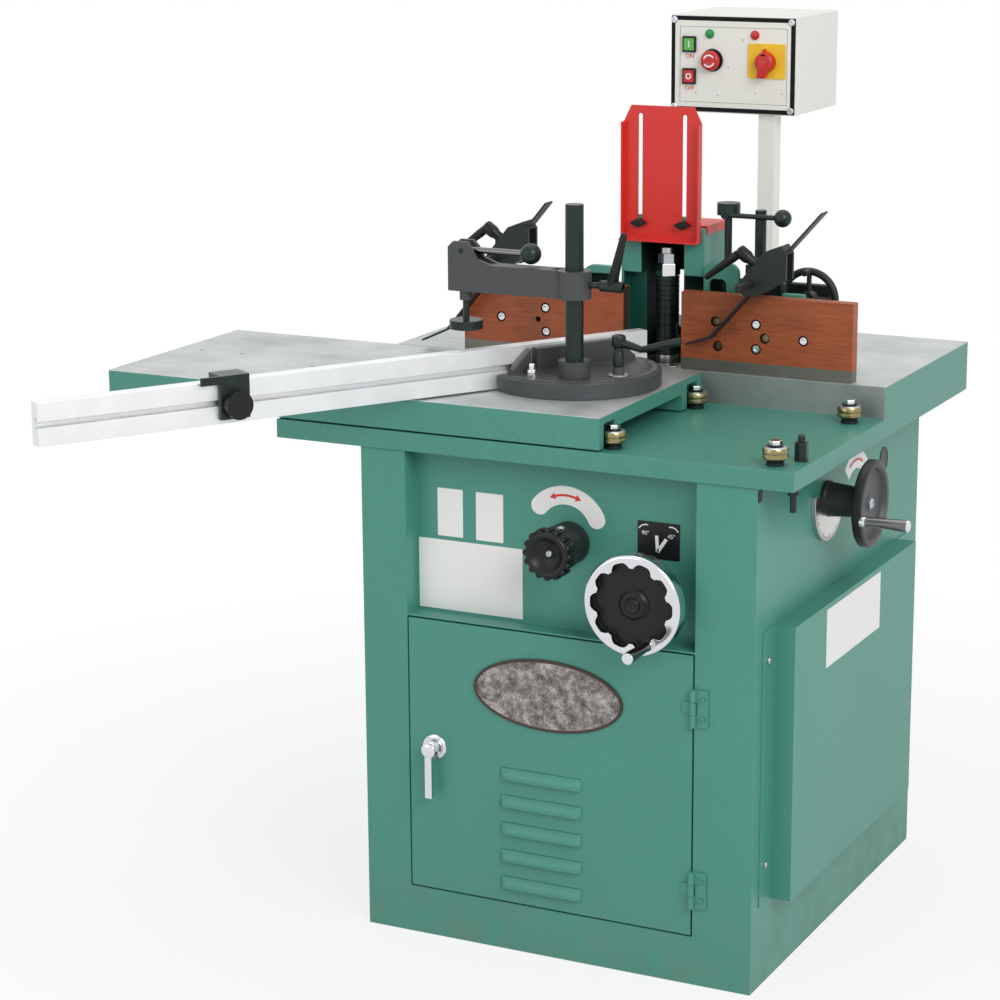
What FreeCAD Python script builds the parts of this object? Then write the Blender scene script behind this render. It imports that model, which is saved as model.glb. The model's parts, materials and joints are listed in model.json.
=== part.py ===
"""Spindle moulder with a tilting spindle and a sliding table, as a parametric assembly.

Millimetres. The origin is the middle of the cabinet's footprint on the floor, +X runs right
along the front, +Y to the back and +Z up. Each piece of the machine is one labelled object.
"""
import FreeCAD, Part
import os
from types import SimpleNamespace

import Sketcher

SIZES = {
    # Fits that all pieces share
    "slide_gap": 0.3,
    "running_gap": 0.05,
    "overrun": 5,
    # Cabinet
    "cabinet_width": 653,
    "cabinet_depth": 728,
    "cabinet_height": 783,
    "cabinet_wall": 3,
    "left_post_width": 77,
    "right_post_width": 95,
    "bottom_rail_height": 77,
    "recess_floor_height": 525,
    "recess_depth": 34,
    # Door, its hinges and its handle
    "door_gap": 2.5,
    "door_depth": 18,
    "door_sheet": 2,
    "hinge_height": 58,
    "hinge_low": 125,
    "hinge_high": 411,
    "leaf_width": 18,
    "leaf_thickness": 3,
    "knuckle_radius": 5,
    "hinge_pin_radius": 2.5,
    "handle_from_left": 123,
    "handle_height": 315,
    "handle_boss_radius": 16,
    "handle_boss_length": 8,
    "handle_neck_radius": 8,
    "handle_standoff": 24,
    "handle_bar_width": 12,
    "handle_bar_thickness": 10,
    "handle_bar_length": 78,
    "handle_shaft_radius": 6,
    "tongue_length": 40,
    "tongue_width": 14,
    "tongue_thickness": 4,
    # Side cover over the belt
    "cover_from_front": 74,
    "cover_length": 552,
    "cover_bottom": 130,
    "cover_height": 430,
    "cover_depth": 34,
    "cover_sheet": 2,
    "cover_flange": 45,
    # Lock knob on the control panel
    "lock_from_left": 262.5,
    "lock_height": 660,
    "lock_stem_radius": 9,
    "lock_stem_inside": 60,
    "lock_hub_radius": 33,
    "lock_hub_length": 15,
    "lock_knob_radius": 34,
    "lock_knob_thickness": 31,
    "lock_standoff": 86,
    "lock_lobe_radius": 8,
    "lock_lobe_circle": 32,
    # Tilt hand wheel on the control panel
    "tilt_wheel_from_left": 399.5,
    "tilt_wheel_height": 598,
    "tilt_wheel_standoff": 36,
    "tilt_rim_circle": 68,
    "tilt_rim_radius": 9,
    "tilt_web_thickness": 8,
    "tilt_hub_radius": 24,
    "tilt_hub_length": 30,
    "tilt_grip_circle": 62,
    "tilt_grip_angle": -63,
    "tilt_shaft_inside": 80,
    # Lift hand wheel on the right wall
    "lift_wheel_from_front": 283,
    "lift_wheel_height": 705,
    "lift_wheel_standoff": 68.5,
    "lift_rim_circle": 60,
    "lift_rim_radius": 7,
    "lift_web_thickness": 6,
    "lift_hub_radius": 20,
    "lift_hub_length": 26,
    "lift_grip_circle": 60,
    "lift_grip_angle": -167,
    "lift_shaft_inside": 120,
    # What both hand wheels share
    "wheel_shaft_radius": 9,
    "wheel_bush_radius": 19,
    "wheel_bush_length": 20,
    "worm_radius": 15,
    "worm_length": 45,
    "grip_pin_radius": 4,
    "grip_radius": 9,
    "grip_length": 72,
    "grip_end": 6,
    # Main table casting
    "table_width": 857,
    "table_left": 474,
    "table_front_overhang": 4,
    "step_from_front": 388,
    "table_back_from_step": 417,
    "table_rise": 81,
    "shelf_thickness": 29.6,
    "plate_thickness": 30,
    "skirt_thickness": 22,
    "rib_thickness": 26,
    "ring_radius": 70,
    "ring_bore": 45,
    "ring_thickness": 12,
    "table_hole_radius": 60,
    # Track rollers and the end stop on the shelf
    "roller_radius": 19,
    "roller_bevel": 3,
    "roller_height": 24,
    "roller_row_margin": 36,
    "roller_row_back_margin": 40,
    "roller_first": 49,
    "roller_second": 559,
    "roller_third": 814,
    "stud_radius": 8,
    "stud_base_radius": 12,
    "stud_base_height": 5.1,
    "stud_head_radius": 11,
    "stud_head_height": 7,
    "stop_from_right": 18,
    "stop_from_front": 76,
    "stop_radius": 9.5,
    "stop_height": 40,
    # Sliding table
    "slider_length": 864,
    "slider_left": 785.5,
    "slider_back_gap": 1,
    "slider_lift": 2.7,
    "groove_clearance": 0.5,
    "groove_roof": 3,
    "tapped_radius": 4,
    "tapped_depth": 20,
    "tapped_front_depth": 24,
    "tapped_first": 43,
    "tapped_second": 121,
    "tapped_third": 281,
    "tapped_row": 208,
    "tapped_front_row": 164,
    # Spindle, its housing and its drive
    "spindle_from_left": 460,
    "spindle_from_step": 75,
    "arbor_radius": 12.7,
    "arbor_top": 182,
    "shoulder_radius": 19,
    "shoulder_top": 8,
    "shoulder_bottom": 30,
    "collar_radius": 19,
    "collar_top": 136,
    "collar_rows": 4,
    "nut_radius": 17,
    "nut_height": 21,
    "shaft_radius": 17,
    "housing_radius": 42,
    "housing_bore": 25,
    "housing_top": 92,
    "housing_bottom": 222,
    "bearing_inset": 4,
    "bearing_height": 16,
    "spindle_pulley_radius": 38,
    "motor_pulley_radius": 66,
    "pulley_gap": 4,
    "pulley_height": 26,
    "belt_thickness": 6,
    "belt_margin": 3,
    "bracket_thickness": 10,
    "bracket_half_width": 60,
    "bracket_back": 40,
    "motor_distance": 235,
    "motor_radius": 85,
    "motor_length": 168,
    "motor_shaft_radius": 12,
    "motor_shaft_depth": 40,
    "cheek_offset": 96,
    "cheek_thickness": 10,
    "cheek_half_length": 60,
    "motor_flange_half": 90,
    "motor_flange_thickness": 8,
    # Tilting cradle and its curved ways under the table
    "way_inner": 125,
    "way_outer": 150,
    "way_offset": 98,
    "way_thickness": 14,
    "way_front_angle": -28,
    "way_back_angle": 72,
    "shoe_inner": 108,
    "shoe_angle": 22,
    "shoe_reach": 32,
    "cradle_wall": 26,
    "cradle_half_width": 86,
    "cradle_half_depth": 48,
    "cradle_top": 100,
    "cradle_bottom": 218,
    "guide_half_depth": 56,
    "guide_thickness": 12,
    "guide_upper": 144,
    # Fence: hood, wings, boards and guard
    "fence_from_spindle": 3,
    "fence_opening": 100,
    "board_length": 287,
    "board_height": 123.5,
    "board_thickness": 22,
    "board_behind_step": 6,
    "board_lift": 0.5,
    "left_wing_length": 255,
    "right_wing_length": 205,
    "wing_inset": 24,
    "wing_height": 96,
    "wing_thickness": 12,
    "wing_foot_depth": 90,
    "wing_foot_height": 12,
    "hood_width": 144,
    "hood_depth": 95,
    "hood_height": 219,
    "hood_opening": 74,
    "hood_opening_height": 196,
    "hood_wall": 12,
    "right_cheek_rise": 142,
    "hood_behind_step": 45.3,
    "tab_width": 100,
    "tab_height": 17,
    "tab_thickness": 8,
    "port_radius": 50,
    "port_wall": 3,
    "port_length": 45,
    "port_height": 90,
    "arm_reach": 184,
    "arm_bottom": 92,
    "arm_height": 36,
    "arm_thickness": 15,
    "arm_setback": 84.7,
    "guard_width": 134,
    "guard_bottom": 196,
    "guard_height": 214,
    "guard_sheet": 3,
    "guard_flange": 12,
    "guard_lip": 20,
    "guard_chamfer": 26,
    "guard_slot_spacing": 76,
    "guard_slot_radius": 3.5,
    "guard_slot_low": 28,
    "guard_slot_high": 198,
    "guard_stud_radius": 3,
    "guard_knob_width": 28,
    "guard_knob_height": 15,
    "guard_knob_length": 12,
    # Fine adjustment of the right fence wing
    "adjust_from_opening": 179,
    "adjust_height": 110,
    "adjust_screw_radius": 6,
    "adjust_lug_width": 36,
    "adjust_rim_circle": 44,
    "adjust_rim_radius": 6,
    "adjust_hub_radius": 12,
    "adjust_hub_length": 20,
    "adjust_spoke_radius": 4,
    "adjust_wheel_setback": 60,
    "adjust_screw_tail": 20,
    "crank_radius": 5,
    "crank_length": 24,
    # Hold-downs above the boards
    "holddown_post_radius": 9,
    "holddown_post_setback": 49,
    "holddown_post_out": 17.5,
    "left_post_height": 191,
    "right_post_height": 253,
    "holddown_block_half": 18,
    "holddown_block_right": 12,
    "pivot_rod_radius": 6,
    "pivot_rod_proud": 52,
    "holder_width": 35,
    "holder_wall": 6,
    "holder_toe_out": 27,
    "holder_toe_drop": 8,
    "holder_heel": 11,
    "holder_drop": 20,
    "holder_right": 58,
    "holder_right_low": 8,
    "holder_right_high": 49,
    "holder_top_right": 49,
    "holder_top": 62,
    "holder_top_left": 21,
    "holder_shoulder": 51,
    "holder_pocket_start": 30,
    "blade_width": 26,
    "blade_thickness": 3,
    "blade_front_gap": 0.6,
    "lever_screw_radius": 4,
    "lever_seat_right": 10,
    "lever_seat_up": 23,
    "lever_hub_start": 10.5,
    "lever_hub_cap": 6,
    "lever_rise_angle": 35,
    "lever_hub_radius": 9,
    "lever_hub_length": 36,
    "lever_arm_radius": 6,
    "lever_arm_length": 74,
    "lever_arm_angle": 72,
    "right_holddown_reach": 131,
    "right_holddown_height": 150,
    "right_blade_lower": 116,
    "right_blade_upper": 161,
    "right_blade_angle": 48.4,
    "right_foot_length": 42,
    "right_foot_angle": 18,
    "left_holddown_reach": 210,
    "left_holddown_height": 162,
    "left_blade_lower": 156,
    "left_blade_upper": 127,
    "left_blade_angle": 50.3,
    "left_foot_length": 52,
    "left_foot_angle": 25,
    "guide_post_radius": 6.5,
    "guide_post_reach": 151,
    "guide_post_height": 140,
    "stem_reach": 59,
    "stem_radius": 6,
    "stem_top": 243,
    "stem_knob_radius": 18.5,
    "stem_knob_height": 19,
    "cross_rod_radius": 4,
    "cross_rod_height": 244,
    "cross_rod_length": 96,
    "cross_ball_radius": 14,
    # Mitre gauge on the sliding table
    "mitre_from_left": 723.5,
    "mitre_from_front": 218,
    "mitre_angle": 57.8,
    "mitre_disc_radius": 133,
    "mitre_disc_height": 25,
    "mitre_fence_offset": 18,
    "mitre_fence_thickness": 22,
    "mitre_fence_height": 63,
    "mitre_fence_lift": 3,
    "mitre_fence_right": 145,
    "mitre_fence_left": 880,
    "mitre_slot_height": 31,
    "mitre_slot_width": 9,
    "mitre_slot_depth": 5,
    "mitre_slot_head_width": 17,
    "mitre_slot_head_depth": 6,
    "upright_thickness": 15,
    "upright_half": 114,
    "upright_flat_half": 80,
    "upright_height": 36,
    "upright_end_height": 6,
    "mitre_lever_along": 18,
    "mitre_lever_out": 92.4,
    "mitre_lever_radius": 9,
    "mitre_lever_height": 29,
    "mitre_lever_arm_radius": 5,
    "mitre_lever_arm_length": 100,
    "mitre_lever_arm_angle": 21,
    # Stop on the mitre fence
    "stop_block_along": 602,
    "stop_block_length": 47,
    "stop_block_height": 65,
    "stop_block_wall": 9,
    "stop_tab_length": 30,
    "stop_tab_height": 12,
    "stop_tab_thickness": 5,
    "stop_knob_height": 22,
    "stop_knob_radius": 21,
    "stop_knob_thickness": 16,
    "stop_screw_radius": 5,
    # Work clamp on the mitre gauge
    "clamp_along": -42.4,
    "clamp_out": 62.2,
    "clamp_angle": 180,
    "clamp_post_radius": 14,
    "clamp_collar_radius": 24.5,
    "clamp_collar_height": 26,
    "clamp_spigot_radius": 10,
    "clamp_spigot_depth": 15,
    "clamp_post_height": 264,
    "clamp_arm_low": 121,
    "clamp_arm_height": 43,
    "clamp_sleeve_radius": 26,
    "clamp_arm_half": 16,
    "clamp_arm_reach": 208,
    "clamp_plunger_reach": 185,
    "clamp_boss_radius": 10,
    "clamp_boss_drop": 15,
    "clamp_lug_rise": 34,
    "clamp_lug_length": 40,
    "clamp_lug_edge": 9,
    "clamp_lug_thickness": 7,
    "clamp_cam_rise": 20,
    "clamp_cam_radius": 12,
    "clamp_cam_pin_radius": 4,
    "clamp_cam_rod_radius": 5,
    "clamp_cam_rod_length": 104,
    "clamp_ball_radius": 16,
    "plunger_radius": 5,
    "plunger_foot_radius": 26,
    "plunger_foot_height": 14,
    "plunger_foot_drop": 60,
    "clamp_screw_height": 22,
    "clamp_screw_radius": 8,
    "clamp_screw_length": 56,
    "clamp_handle_radius": 5,
    "clamp_handle_length": 76,
    # Control box on its column
    "column_middle": 16.5,
    "column_width": 30,
    "column_depth": 30,
    "column_foot_width": 80,
    "column_foot_height": 70,
    "column_foot_sheet": 3,
    "box_width": 228,
    "box_height": 164,
    "box_depth": 200,
    "box_bottom": 1225,
    "box_middle": -42,
    "box_front_overhang": 10,
    "box_wall": 3,
    "button_radius": 8,
    "button_proud": 8,
    "button_inside": 10,
    "button_collar": 3,
    "button_collar_thickness": 2,
    "button_column": 34,
    "on_height": 115,
    "off_height": 61,
    "stop_button_column": 78,
    "stop_button_height": 89,
    "mushroom_radius": 17,
    "mushroom_thickness": 12,
    "switch_column": 179,
    "switch_height": 89,
    "switch_disc_radius": 20,
    "switch_disc_thickness": 10,
    "switch_bar_width": 12,
    "switch_bar_length": 44,
    "switch_bar_thickness": 16,
    "switch_shaft_radius": 5,
}

LOBE_COUNT = 10
SPOKE_COUNT = 4
SIDES = {"x": (1, 0, 0), "y": (0, 1, 0), "z": (0, 0, 1)}
AIM = {"x": ("y", 90), "y": ("x", -90), "z": ("z", 0)}

doc = FreeCAD.newDocument("spindle_moulder")
sheet = doc.addObject("Spreadsheet::Sheet", "Sizes")
for row, (alias, number) in enumerate(SIZES.items(), start=1):
    sheet.set(f"A{row}", alias)
    sheet.set(f"B{row}", str(number))
    sheet.setAlias(f"B{row}", alias)
doc.recompute()


class Size:
    """A length with the formula that the document keeps and the value that it has now."""

    def __init__(self, text, value):
        self.text = text
        self.value = value

    def joined(self, sign, other, value):
        return Size(f"({self.text} {sign} {other.text})", value)

    def __add__(self, other):
        other = as_size(other)
        return self.joined("+", other, self.value + other.value)

    def __sub__(self, other):
        other = as_size(other)
        return self.joined("-", other, self.value - other.value)

    def __mul__(self, other):
        other = as_size(other)
        return self.joined("*", other, self.value * other.value)

    def __truediv__(self, other):
        other = as_size(other)
        return self.joined("/", other, self.value / other.value)

    def __neg__(self):
        return as_size(0) - self


def as_size(thing):
    return thing if isinstance(thing, Size) else Size(repr(thing), thing)


def sine(angle):
    angle = as_size(angle)
    return Size(f"sin({angle.text})", FreeCAD.Units.Quantity(f"sin({angle.value})").Value)


def cosine(angle):
    angle = as_size(angle)
    return Size(f"cos({angle.text})", FreeCAD.Units.Quantity(f"cos({angle.value})").Value)


def square_root(size):
    return Size(f"sqrt({size.text})", size.value ** 0.5)


S = SimpleNamespace(**{alias: Size(f"Sizes.{alias}", sheet.get(alias)) for alias in SIZES})
PIECES = []


def turning(axis, angle):
    x, y, z = SIDES[axis]
    return f"rotation(vector({x}; {y}; {z}); {as_size(angle).text})"


def place(thing, at, *turns):
    """Bind the placement: the turns act one after the other, the last one first."""
    x, y, z = (as_size(value).text for value in at)
    turn = " * ".join(turns) or turning("z", 0)
    thing.setExpression("Placement", f"placement(vector({x}; {y}; {z}); {turn})")
    return thing


def box(x, y, z):
    """A block between two bounds on each axis."""
    made = doc.addObject("Part::Box", "block")
    for prop, (low, high) in zip(("Length", "Width", "Height"), (x, y, z)):
        made.setExpression(prop, (as_size(high) - low).text)
    return place(made, (x[0], y[0], z[0]))


def rod(radius, start, length, axis="z"):
    """A cylinder from the middle of one end along an axis."""
    made = doc.addObject("Part::Cylinder", "rod")
    made.setExpression("Radius", radius.text)
    made.setExpression("Height", length.text)
    return place(made, start, turning(*AIM[axis]))


def ball(radius, centre):
    """A sphere, turned so that rods along the axes don't meet its seam."""
    made = doc.addObject("Part::Sphere", "ball")
    made.setExpression("Radius", radius.text)
    return place(made, centre, turning("z", 45))


def hoop(circle, radius, centre, axis):
    """A torus whose ring lies square to an axis."""
    made = doc.addObject("Part::Torus", "hoop")
    made.setExpression("Radius1", circle.text)
    made.setExpression("Radius2", radius.text)
    return place(made, centre, turning(*AIM[axis]))


def wedge_rod(radius, start, length, from_angle, to_angle):
    """A slice of a cylinder along X, with its angles counted from straight down to the back."""
    made = rod(radius, start, length, "x")
    made.setExpression("Angle", (as_size(to_angle) - from_angle).text)
    return place(made, start, turning("y", 90), turning("z", from_angle))


def outline(body, role, points):
    """A closed sketch of straight lines whose corners are bound to their sizes."""
    plane = next(each for each in body.Origin.OriginFeatures if each.Role == role)
    sketch = body.newObject("Sketcher::SketchObject", "outline")
    sketch.AttachmentSupport = [(plane, "")]
    sketch.MapMode = "FlatFace"
    points = [(as_size(u), as_size(v)) for u, v in points]
    corners = [FreeCAD.Vector(u.value, v.value, 0) for u, v in points]
    for start, end in zip(corners, corners[1:] + corners[:1]):
        sketch.addGeometry(Part.LineSegment(start, end))
    for index in range(len(corners)):
        following = (index + 1) % len(corners)
        sketch.addConstraint(Sketcher.Constraint("Coincident", index, 2, following, 1))
    for index, point in enumerate(points):
        for kind, size in zip(("DistanceX", "DistanceY"), point):
            rule = Sketcher.Constraint(kind, -1, 1, index, 1, size.value)
            sketch.setExpression(f"Constraints[{sketch.addConstraint(rule)}]", size.text)
    return sketch


def prism(points, start, length, role="XY_Plane"):
    """An outline pushed out: along Z from the XY plane, along +Y from XZ, along X from YZ."""
    body = doc.addObject("PartDesign::Body", "prism")
    pad = body.newObject("PartDesign::Pad", "pad")
    pad.Profile = outline(body, role, points)
    pad.setExpression("Length", length.text)
    pad.Reversed = role == "XZ_Plane"
    return place(body, start)


def turned(profile, centre, axis="z"):
    """A turned piece: its half outline is a list of (radius, height) along the axis."""
    body = doc.addObject("PartDesign::Body", "turned")
    spin = body.newObject("PartDesign::Revolution", "spin")
    sketch = outline(body, "XZ_Plane", profile)
    spin.Profile = sketch
    spin.ReferenceAxis = (sketch, ["V_Axis"])
    spin.Angle = 360
    return place(body, centre, turning(*AIM[axis]))


def fuse(*parts):
    made = doc.addObject("Part::MultiFuse", "joined")
    made.Shapes = list(parts)
    made.Refine = True
    return made


def cut(base, *tools):
    made = doc.addObject("Part::Cut", "trimmed")
    made.Base = base
    made.Tool = tools[0] if len(tools) == 1 else group(*tools)
    return made


def common(base, tool):
    made = doc.addObject("Part::Common", "shared")
    made.Base = base
    made.Tool = tool
    return made


def group(*parts):
    made = doc.addObject("Part::Compound", "group")
    made.Links = list(parts)
    return made


def piece(label, thing):
    thing.Label = label
    PIECES.append(thing)
    return thing


def about(middle, half):
    """The two bounds that lie the same way on both sides of a middle."""
    return (as_size(middle) - half, as_size(middle) + half)


def run(start, length):
    """The two bounds of a stretch from its start."""
    return (as_size(start), as_size(start) + length)


# Cabinet faces that the other pieces take their places from
half_width = S.cabinet_width / 2
half_depth = S.cabinet_depth / 2
front = -half_depth
opening_left = S.left_post_width - half_width
opening_right = half_width - S.right_post_width
panel_front = front + S.recess_depth
panel_back = panel_front + S.cabinet_wall
ledge_bottom = S.recess_floor_height - S.cabinet_wall
lock_at = (S.lock_from_left + opening_left, S.lock_height)
tilt_at = (S.tilt_wheel_from_left + opening_left, S.tilt_wheel_height)
lift_at = (S.lift_wheel_from_front + front, S.lift_wheel_height)

# Table faces
table_left = -S.table_left
table_right = table_left + S.table_width
table_front = front - S.table_front_overhang
step = table_front + S.step_from_front
table_back = step + S.table_back_from_step
shelf_top = S.cabinet_height + S.shelf_thickness
table_top = S.cabinet_height + S.table_rise
plate_bottom = table_top - S.plate_thickness
slider_bottom = shelf_top + S.slider_lift
spindle_x = table_left + S.spindle_from_left
spindle_y = step + S.spindle_from_step

# Fence planes
board_front = step + S.board_behind_step
board_back = board_front + S.board_thickness
wing_front = board_back + S.slide_gap
wing_back = wing_front + S.wing_thickness
hood_front = step + S.hood_behind_step
guard_back = hood_front - S.slide_gap
guard_front = guard_back - S.guard_sheet
fence_middle = spindle_x + S.fence_from_spindle
right_edge = fence_middle + S.fence_opening / 2
left_edge = fence_middle - S.fence_opening / 2


def cabinet_shell():
    wall = S.cabinet_wall
    full = (0, S.cabinet_height)
    inner_y = (front + wall, half_depth - wall)
    left_wall = box((-half_width, wall - half_width), (front + wall, half_depth), full)
    right_wall = cut(
        box((half_width - wall, half_width), (front + wall, half_depth), full),
        rod(S.wheel_shaft_radius + S.slide_gap, (half_width - wall - S.overrun, *lift_at),
            wall + S.overrun * 2, "x"),
    )
    panel = cut(
        box((opening_left, opening_right), (panel_front, panel_back), (ledge_bottom, S.cabinet_height)),
        *[
            rod(radius + S.slide_gap, (x, panel_front - S.overrun, z), wall + S.overrun * 2, "y")
            for radius, (x, z) in ((S.lock_stem_radius, lock_at), (S.wheel_shaft_radius, tilt_at))
        ],
    )
    back_wall = box(about(0, half_width - wall), (half_depth - wall, half_depth), full)
    floor_pan = box(about(0, half_width - wall), inner_y, (0, wall))
    posts = [
        box(span, (front, front + wall), full)
        for span in ((-half_width, opening_left), (opening_right, half_width))
    ]
    cheeks = [
        box(span, (front + wall, panel_back), (S.bottom_rail_height, S.cabinet_height))
        for span in ((opening_left - wall, opening_left), (opening_right, opening_right + wall))
    ]
    rail = box((opening_left, opening_right), (front, front + wall), (0, S.bottom_rail_height))
    ledge = box((opening_left, opening_right), (front, panel_front), (ledge_bottom, S.recess_floor_height))
    piece("cabinet_shell", group(
        left_wall, right_wall, back_wall, floor_pan, *posts, *cheeks, rail, ledge, panel))


hinge_pin = (opening_right, front - S.knuckle_radius - S.slide_gap)
handle_x = opening_left - S.left_post_width + S.handle_from_left


def door_hinges():
    x, y = hinge_pin
    third = S.hinge_height / 3
    leaf_y = (front - S.leaf_thickness, front)
    leaf_start = x + S.knuckle_radius + S.slide_gap
    hinges = []
    for low in (S.hinge_low, S.hinge_high):
        leaf = box((leaf_start, leaf_start + S.leaf_width), leaf_y, run(low, S.hinge_height))
        knuckles = [rod(S.knuckle_radius, (x, y, z), third) for z in (low, low + third * 2)]
        bridges = [box((x, leaf_start), leaf_y, run(z, third)) for z in (low, low + third * 2)]
        pin = rod(S.hinge_pin_radius, (x, y, low), S.hinge_height)
        hinges.append(fuse(leaf, pin, *knuckles, *bridges))
    piece("door_hinges", group(*hinges))


def access_door():
    x = (opening_left + S.door_gap, opening_right - S.door_gap)
    z = (S.bottom_rail_height + S.door_gap, ledge_bottom - S.door_gap)
    sheet_in = S.door_sheet
    pan = cut(
        box(x, run(front, S.door_depth), z),
        box((x[0] + sheet_in, x[1] - sheet_in), (front + sheet_in, front + S.door_depth + S.overrun),
            (z[0] + sheet_in, z[1] - sheet_in)),
    )
    pin_x, pin_y = hinge_pin
    third = S.hinge_height / 3
    leaves = []
    for low in (S.hinge_low, S.hinge_high):
        middle = (low + third + S.slide_gap, low + third * 2 - S.slide_gap)
        leaves.append(box((pin_x - S.leaf_width, pin_x), (front - S.leaf_thickness, front), middle))
        leaves.append(rod(S.knuckle_radius, (pin_x, pin_y, middle[0]), middle[1] - middle[0]))
    bores = [
        rod(S.hinge_pin_radius + S.running_gap, (pin_x, pin_y, low), S.hinge_height)
        for low in (S.hinge_low, S.hinge_high)
    ]
    handle_hole = rod(S.handle_shaft_radius + S.running_gap,
                      (handle_x, front - S.overrun, S.handle_height), S.door_depth, "y")
    piece("access_door", cut(fuse(pan, *leaves), *bores, handle_hole))


def door_handle():
    x, z = handle_x, S.handle_height
    boss_back = front - S.slide_gap
    boss_front = boss_back - S.handle_boss_length
    bar_front = front - S.handle_standoff
    tongue_y = run(front + S.door_depth + S.slide_gap, S.tongue_thickness)
    piece("door_handle", fuse(
        rod(S.handle_boss_radius, (x, boss_front, z), S.handle_boss_length, "y"),
        rod(S.handle_neck_radius, (x, bar_front, z), boss_front - bar_front, "y"),
        box(about(x, S.handle_bar_width / 2), run(bar_front, S.handle_bar_thickness),
            (z - S.handle_bar_length, z + S.handle_neck_radius)),
        rod(S.handle_shaft_radius, (x, boss_front, z), tongue_y[1] - boss_front, "y"),
        box((x - S.tongue_length, x + S.tongue_width / 2), tongue_y, about(z, S.tongue_width / 2)),
    ))


def side_cover():
    y = run(front + S.cover_from_front, S.cover_length)
    z = run(S.cover_bottom, S.cover_height)
    sheet_in = S.cover_sheet
    shell = cut(
        box(run(half_width, S.cover_depth), y, z),
        box((half_width - S.overrun, half_width + S.cover_depth - sheet_in),
            (y[0] + sheet_in, y[1] - sheet_in), (z[0] + sheet_in, z[1] - sheet_in)),
    )
    flanges = [
        box(run(half_width, sheet_in), span, z)
        for span in ((y[0] - S.cover_flange, y[0]), (y[1], y[1] + S.cover_flange))
    ]
    piece("side_cover", fuse(shell, *flanges))


def wheel_bushes():
    def bush(outer, bore, start, length, axis):
        return cut(rod(outer, start, length, axis), rod(bore + S.running_gap, start, length, axis))

    lock_x, lock_z = lock_at
    tilt_x, tilt_z = tilt_at
    tilt_bush = S.wheel_bush_length / 2
    piece("wheel_bushes", group(
        bush(S.lock_hub_radius, S.lock_stem_radius, (lock_x, panel_front - S.lock_hub_length, lock_z),
             S.lock_hub_length, "y"),
        bush(S.wheel_bush_radius, S.wheel_shaft_radius, (tilt_x, panel_front - tilt_bush, tilt_z),
             tilt_bush, "y"),
        bush(S.wheel_bush_radius, S.wheel_shaft_radius, (half_width, *lift_at), S.wheel_bush_length, "x"),
    ))


def lobed_knob(radius, lobe_radius, lobe_circle, start, thickness):
    """A round knob along Y with finger lobes about its rim."""
    x, y, z = start
    lobes = []
    for index in range(LOBE_COUNT):
        angle = 360 * index / LOBE_COUNT
        lobes.append(rod(lobe_radius, (x + lobe_circle * cosine(angle), y, z + lobe_circle * sine(angle)),
                         thickness, "y"))
    return [rod(radius, start, thickness, "y"), *lobes]


def lock_knob():
    x, z = lock_at
    face = panel_front - S.lock_standoff
    stem = rod(S.lock_stem_radius, (x, face, z), S.lock_standoff + S.lock_stem_inside, "y")
    piece("lock_knob", fuse(stem, *lobed_knob(
        S.lock_knob_radius, S.lock_lobe_radius, S.lock_lobe_circle, (x, face, z), S.lock_knob_thickness)))


tilt_wheel_y = front - S.tilt_wheel_standoff
tilt_grip_at = (tilt_at[0] + S.tilt_grip_circle * cosine(S.tilt_grip_angle),
                tilt_at[1] + S.tilt_grip_circle * sine(S.tilt_grip_angle))
lift_wheel_x = half_width + S.lift_wheel_standoff
lift_grip_at = (lift_at[0] + S.lift_grip_circle * cosine(S.lift_grip_angle),
                lift_at[1] + S.lift_grip_circle * sine(S.lift_grip_angle))


def tilt_wheel():
    x, z = tilt_at
    y = tilt_wheel_y
    grip_x, grip_z = tilt_grip_at
    web = S.tilt_web_thickness
    hub_start = y - S.tilt_hub_length / 2
    shaft_end = panel_back + S.tilt_shaft_inside
    piece("tilt_wheel", fuse(
        hoop(S.tilt_rim_circle, S.tilt_rim_radius, (x, y, z), "y"),
        rod(S.tilt_rim_circle, (x, y - web / 2, z), web, "y"),
        rod(S.tilt_hub_radius, (x, hub_start, z), S.tilt_hub_length, "y"),
        rod(S.wheel_shaft_radius, (x, y, z), shaft_end - y, "y"),
        rod(S.worm_radius, (x, shaft_end - S.worm_length, z), S.worm_length, "y"),
        rod(S.grip_pin_radius, (grip_x, y - S.tilt_rim_radius - S.grip_length, grip_z),
            S.grip_length + S.tilt_rim_radius, "y"),
    ))


def tilt_wheel_grip():
    x, z = tilt_grip_at
    back = tilt_wheel_y - S.tilt_rim_radius - S.slide_gap
    sleeve = rod(S.grip_radius, (x, back - S.grip_length - S.grip_end, z), S.grip_length + S.grip_end, "y")
    bore_length = S.grip_length + S.overrun
    piece("tilt_wheel_grip", cut(sleeve, rod(
        S.grip_pin_radius + S.running_gap, (x, back - S.grip_length, z), bore_length, "y")))


def lift_wheel():
    y, z = lift_at
    x = lift_wheel_x
    web = S.lift_web_thickness
    shaft_start = half_width - S.cabinet_wall - S.lift_shaft_inside
    piece("lift_wheel", fuse(
        hoop(S.lift_rim_circle, S.lift_rim_radius, (x, y, z), "x"),
        rod(S.lift_rim_circle, (x - web / 2, y, z), web, "x"),
        rod(S.lift_hub_radius, (x - S.lift_hub_length / 2, y, z), S.lift_hub_length, "x"),
        rod(S.wheel_shaft_radius, (shaft_start, y, z), x - shaft_start, "x"),
        rod(S.worm_radius, (shaft_start, y, z), S.worm_length, "x"),
        rod(S.grip_pin_radius, (x, *lift_grip_at), S.lift_rim_radius + S.grip_length, "x"),
    ))


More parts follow.
